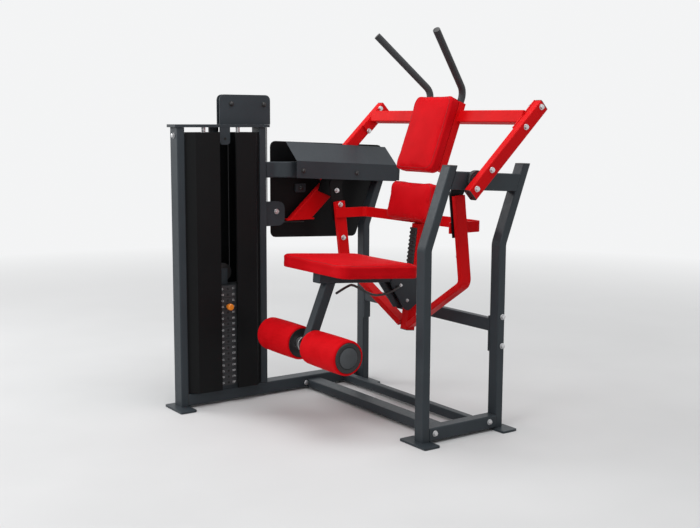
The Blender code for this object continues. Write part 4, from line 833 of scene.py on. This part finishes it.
# floor, light and camera; aim: the height that the lamps look at
room = {"floor": 40.0, "tone": (0.66, 0.665, 0.67), "patches": 0.03, "rough": 0.7, "fade": (1.6, 7.0),
        "backdrop": (0.90, 0.905, 0.91, 1), "sky": 0.52, "aim": 0.9,
        "lamps": {"key": {"power": 66.0, "place": (1.6, -4.2, 3.4), "size": 2.4},
                  "side": {"power": 80.0, "place": (-3.6, -2.6, 2.8), "size": 2.0},
                  "top": {"power": 80.0, "place": (0.4, 0.2, 4.2), "size": 3.0}}}


# 1 for rays that show the backdrop: the camera's own, and those that metal and glass reflect
def shownRays(tree):
    path = tree.nodes.new("ShaderNodeLightPath")
    shown = path.outputs["Is Camera Ray"]
    for ray in ("Is Glossy Ray", "Is Transmission Ray"):
        shown = mathOf(tree, "MAXIMUM", shown, path.outputs[ray])
    return shown


def mixShaders(tree, mask, first, second, out):
    mix = tree.nodes.new("ShaderNodeMixShader")
    tree.links.new(mask, mix.inputs["Fac"])
    tree.links.new(first, mix.inputs[1])
    tree.links.new(second, mix.inputs[2])
    tree.links.new(mix.outputs["Shader"], out.inputs["Surface"])


# the floor runs out into the backdrop's tone
def fadeFloor(tree, shader, place):
    far = tree.nodes.new("ShaderNodeVectorMath")
    far.operation = "LENGTH"
    tree.links.new(place, far.inputs[0])
    away = spread(tree, far.outputs["Value"], 0.0, 1.0, *room["fade"])
    fade = mathOf(tree, "MULTIPLY", away, shownRays(tree))
    glow = tree.nodes.new("ShaderNodeEmission")
    glow.inputs["Color"].default_value = room["backdrop"]
    out = next(n for n in tree.nodes if n.type == "OUTPUT_MATERIAL")
    mixShaders(tree, fade, shader.outputs["BSDF"], glow.outputs["Emission"], out)


def layFloor():
    bm = bmesh.new()
    bmesh.ops.create_grid(bm, x_segments=2, y_segments=2, size=room["floor"])
    mesh = bpy.data.meshes.new("floor")
    bm.to_mesh(mesh)
    bm.free()
    floor = addObject("floor", mesh)
    tree, shader, place = startMaterial("floorTone")
    low, high = (tinted(room["tone"], 1 + change) for change in (-room["patches"], room["patches"]))
    tree.links.new(rampOf(tree, noiseOn(tree, place, 1.2, 3.0), low, high), shader.inputs["Base Color"])
    shader.inputs["Roughness"].default_value = room["rough"]
    fadeFloor(tree, shader, place)
    mesh.materials.append(finishes["floorTone"])


def setWorld():
    world = bpy.data.worlds.new("studio")
    bpy.context.scene.world = world
    world.use_nodes = True
    tree = world.node_tree
    tree.nodes.clear()
    out = tree.nodes.new("ShaderNodeOutputWorld")
    light, seen = (tree.nodes.new("ShaderNodeBackground") for _ in range(2))
    light.inputs["Color"].default_value = (1, 1, 1, 1)
    light.inputs["Strength"].default_value = room["sky"]
    seen.inputs["Color"].default_value = room["backdrop"]
    mixShaders(tree, shownRays(tree), light.outputs["Background"], seen.outputs["Background"], out)


def hangLamps():
    target = Vector((midX, swingAxis.y, room["aim"]))
    for name, facts in room["lamps"].items():
        lamp = bpy.data.lights.new(name, "AREA")
        lamp.energy = facts["power"]
        lamp.size = facts["size"]
        lampObject = addObject(name, lamp)
        lampObject.location = facts["place"]
        lampObject.rotation_euler = (target - Vector(facts["place"])).to_track_quat("-Z", "Y").to_euler()


layFloor()
setWorld()
hangLamps()
bpy.context.scene.view_settings.view_transform = "Standard"
setCamera()
print("room and camera set")
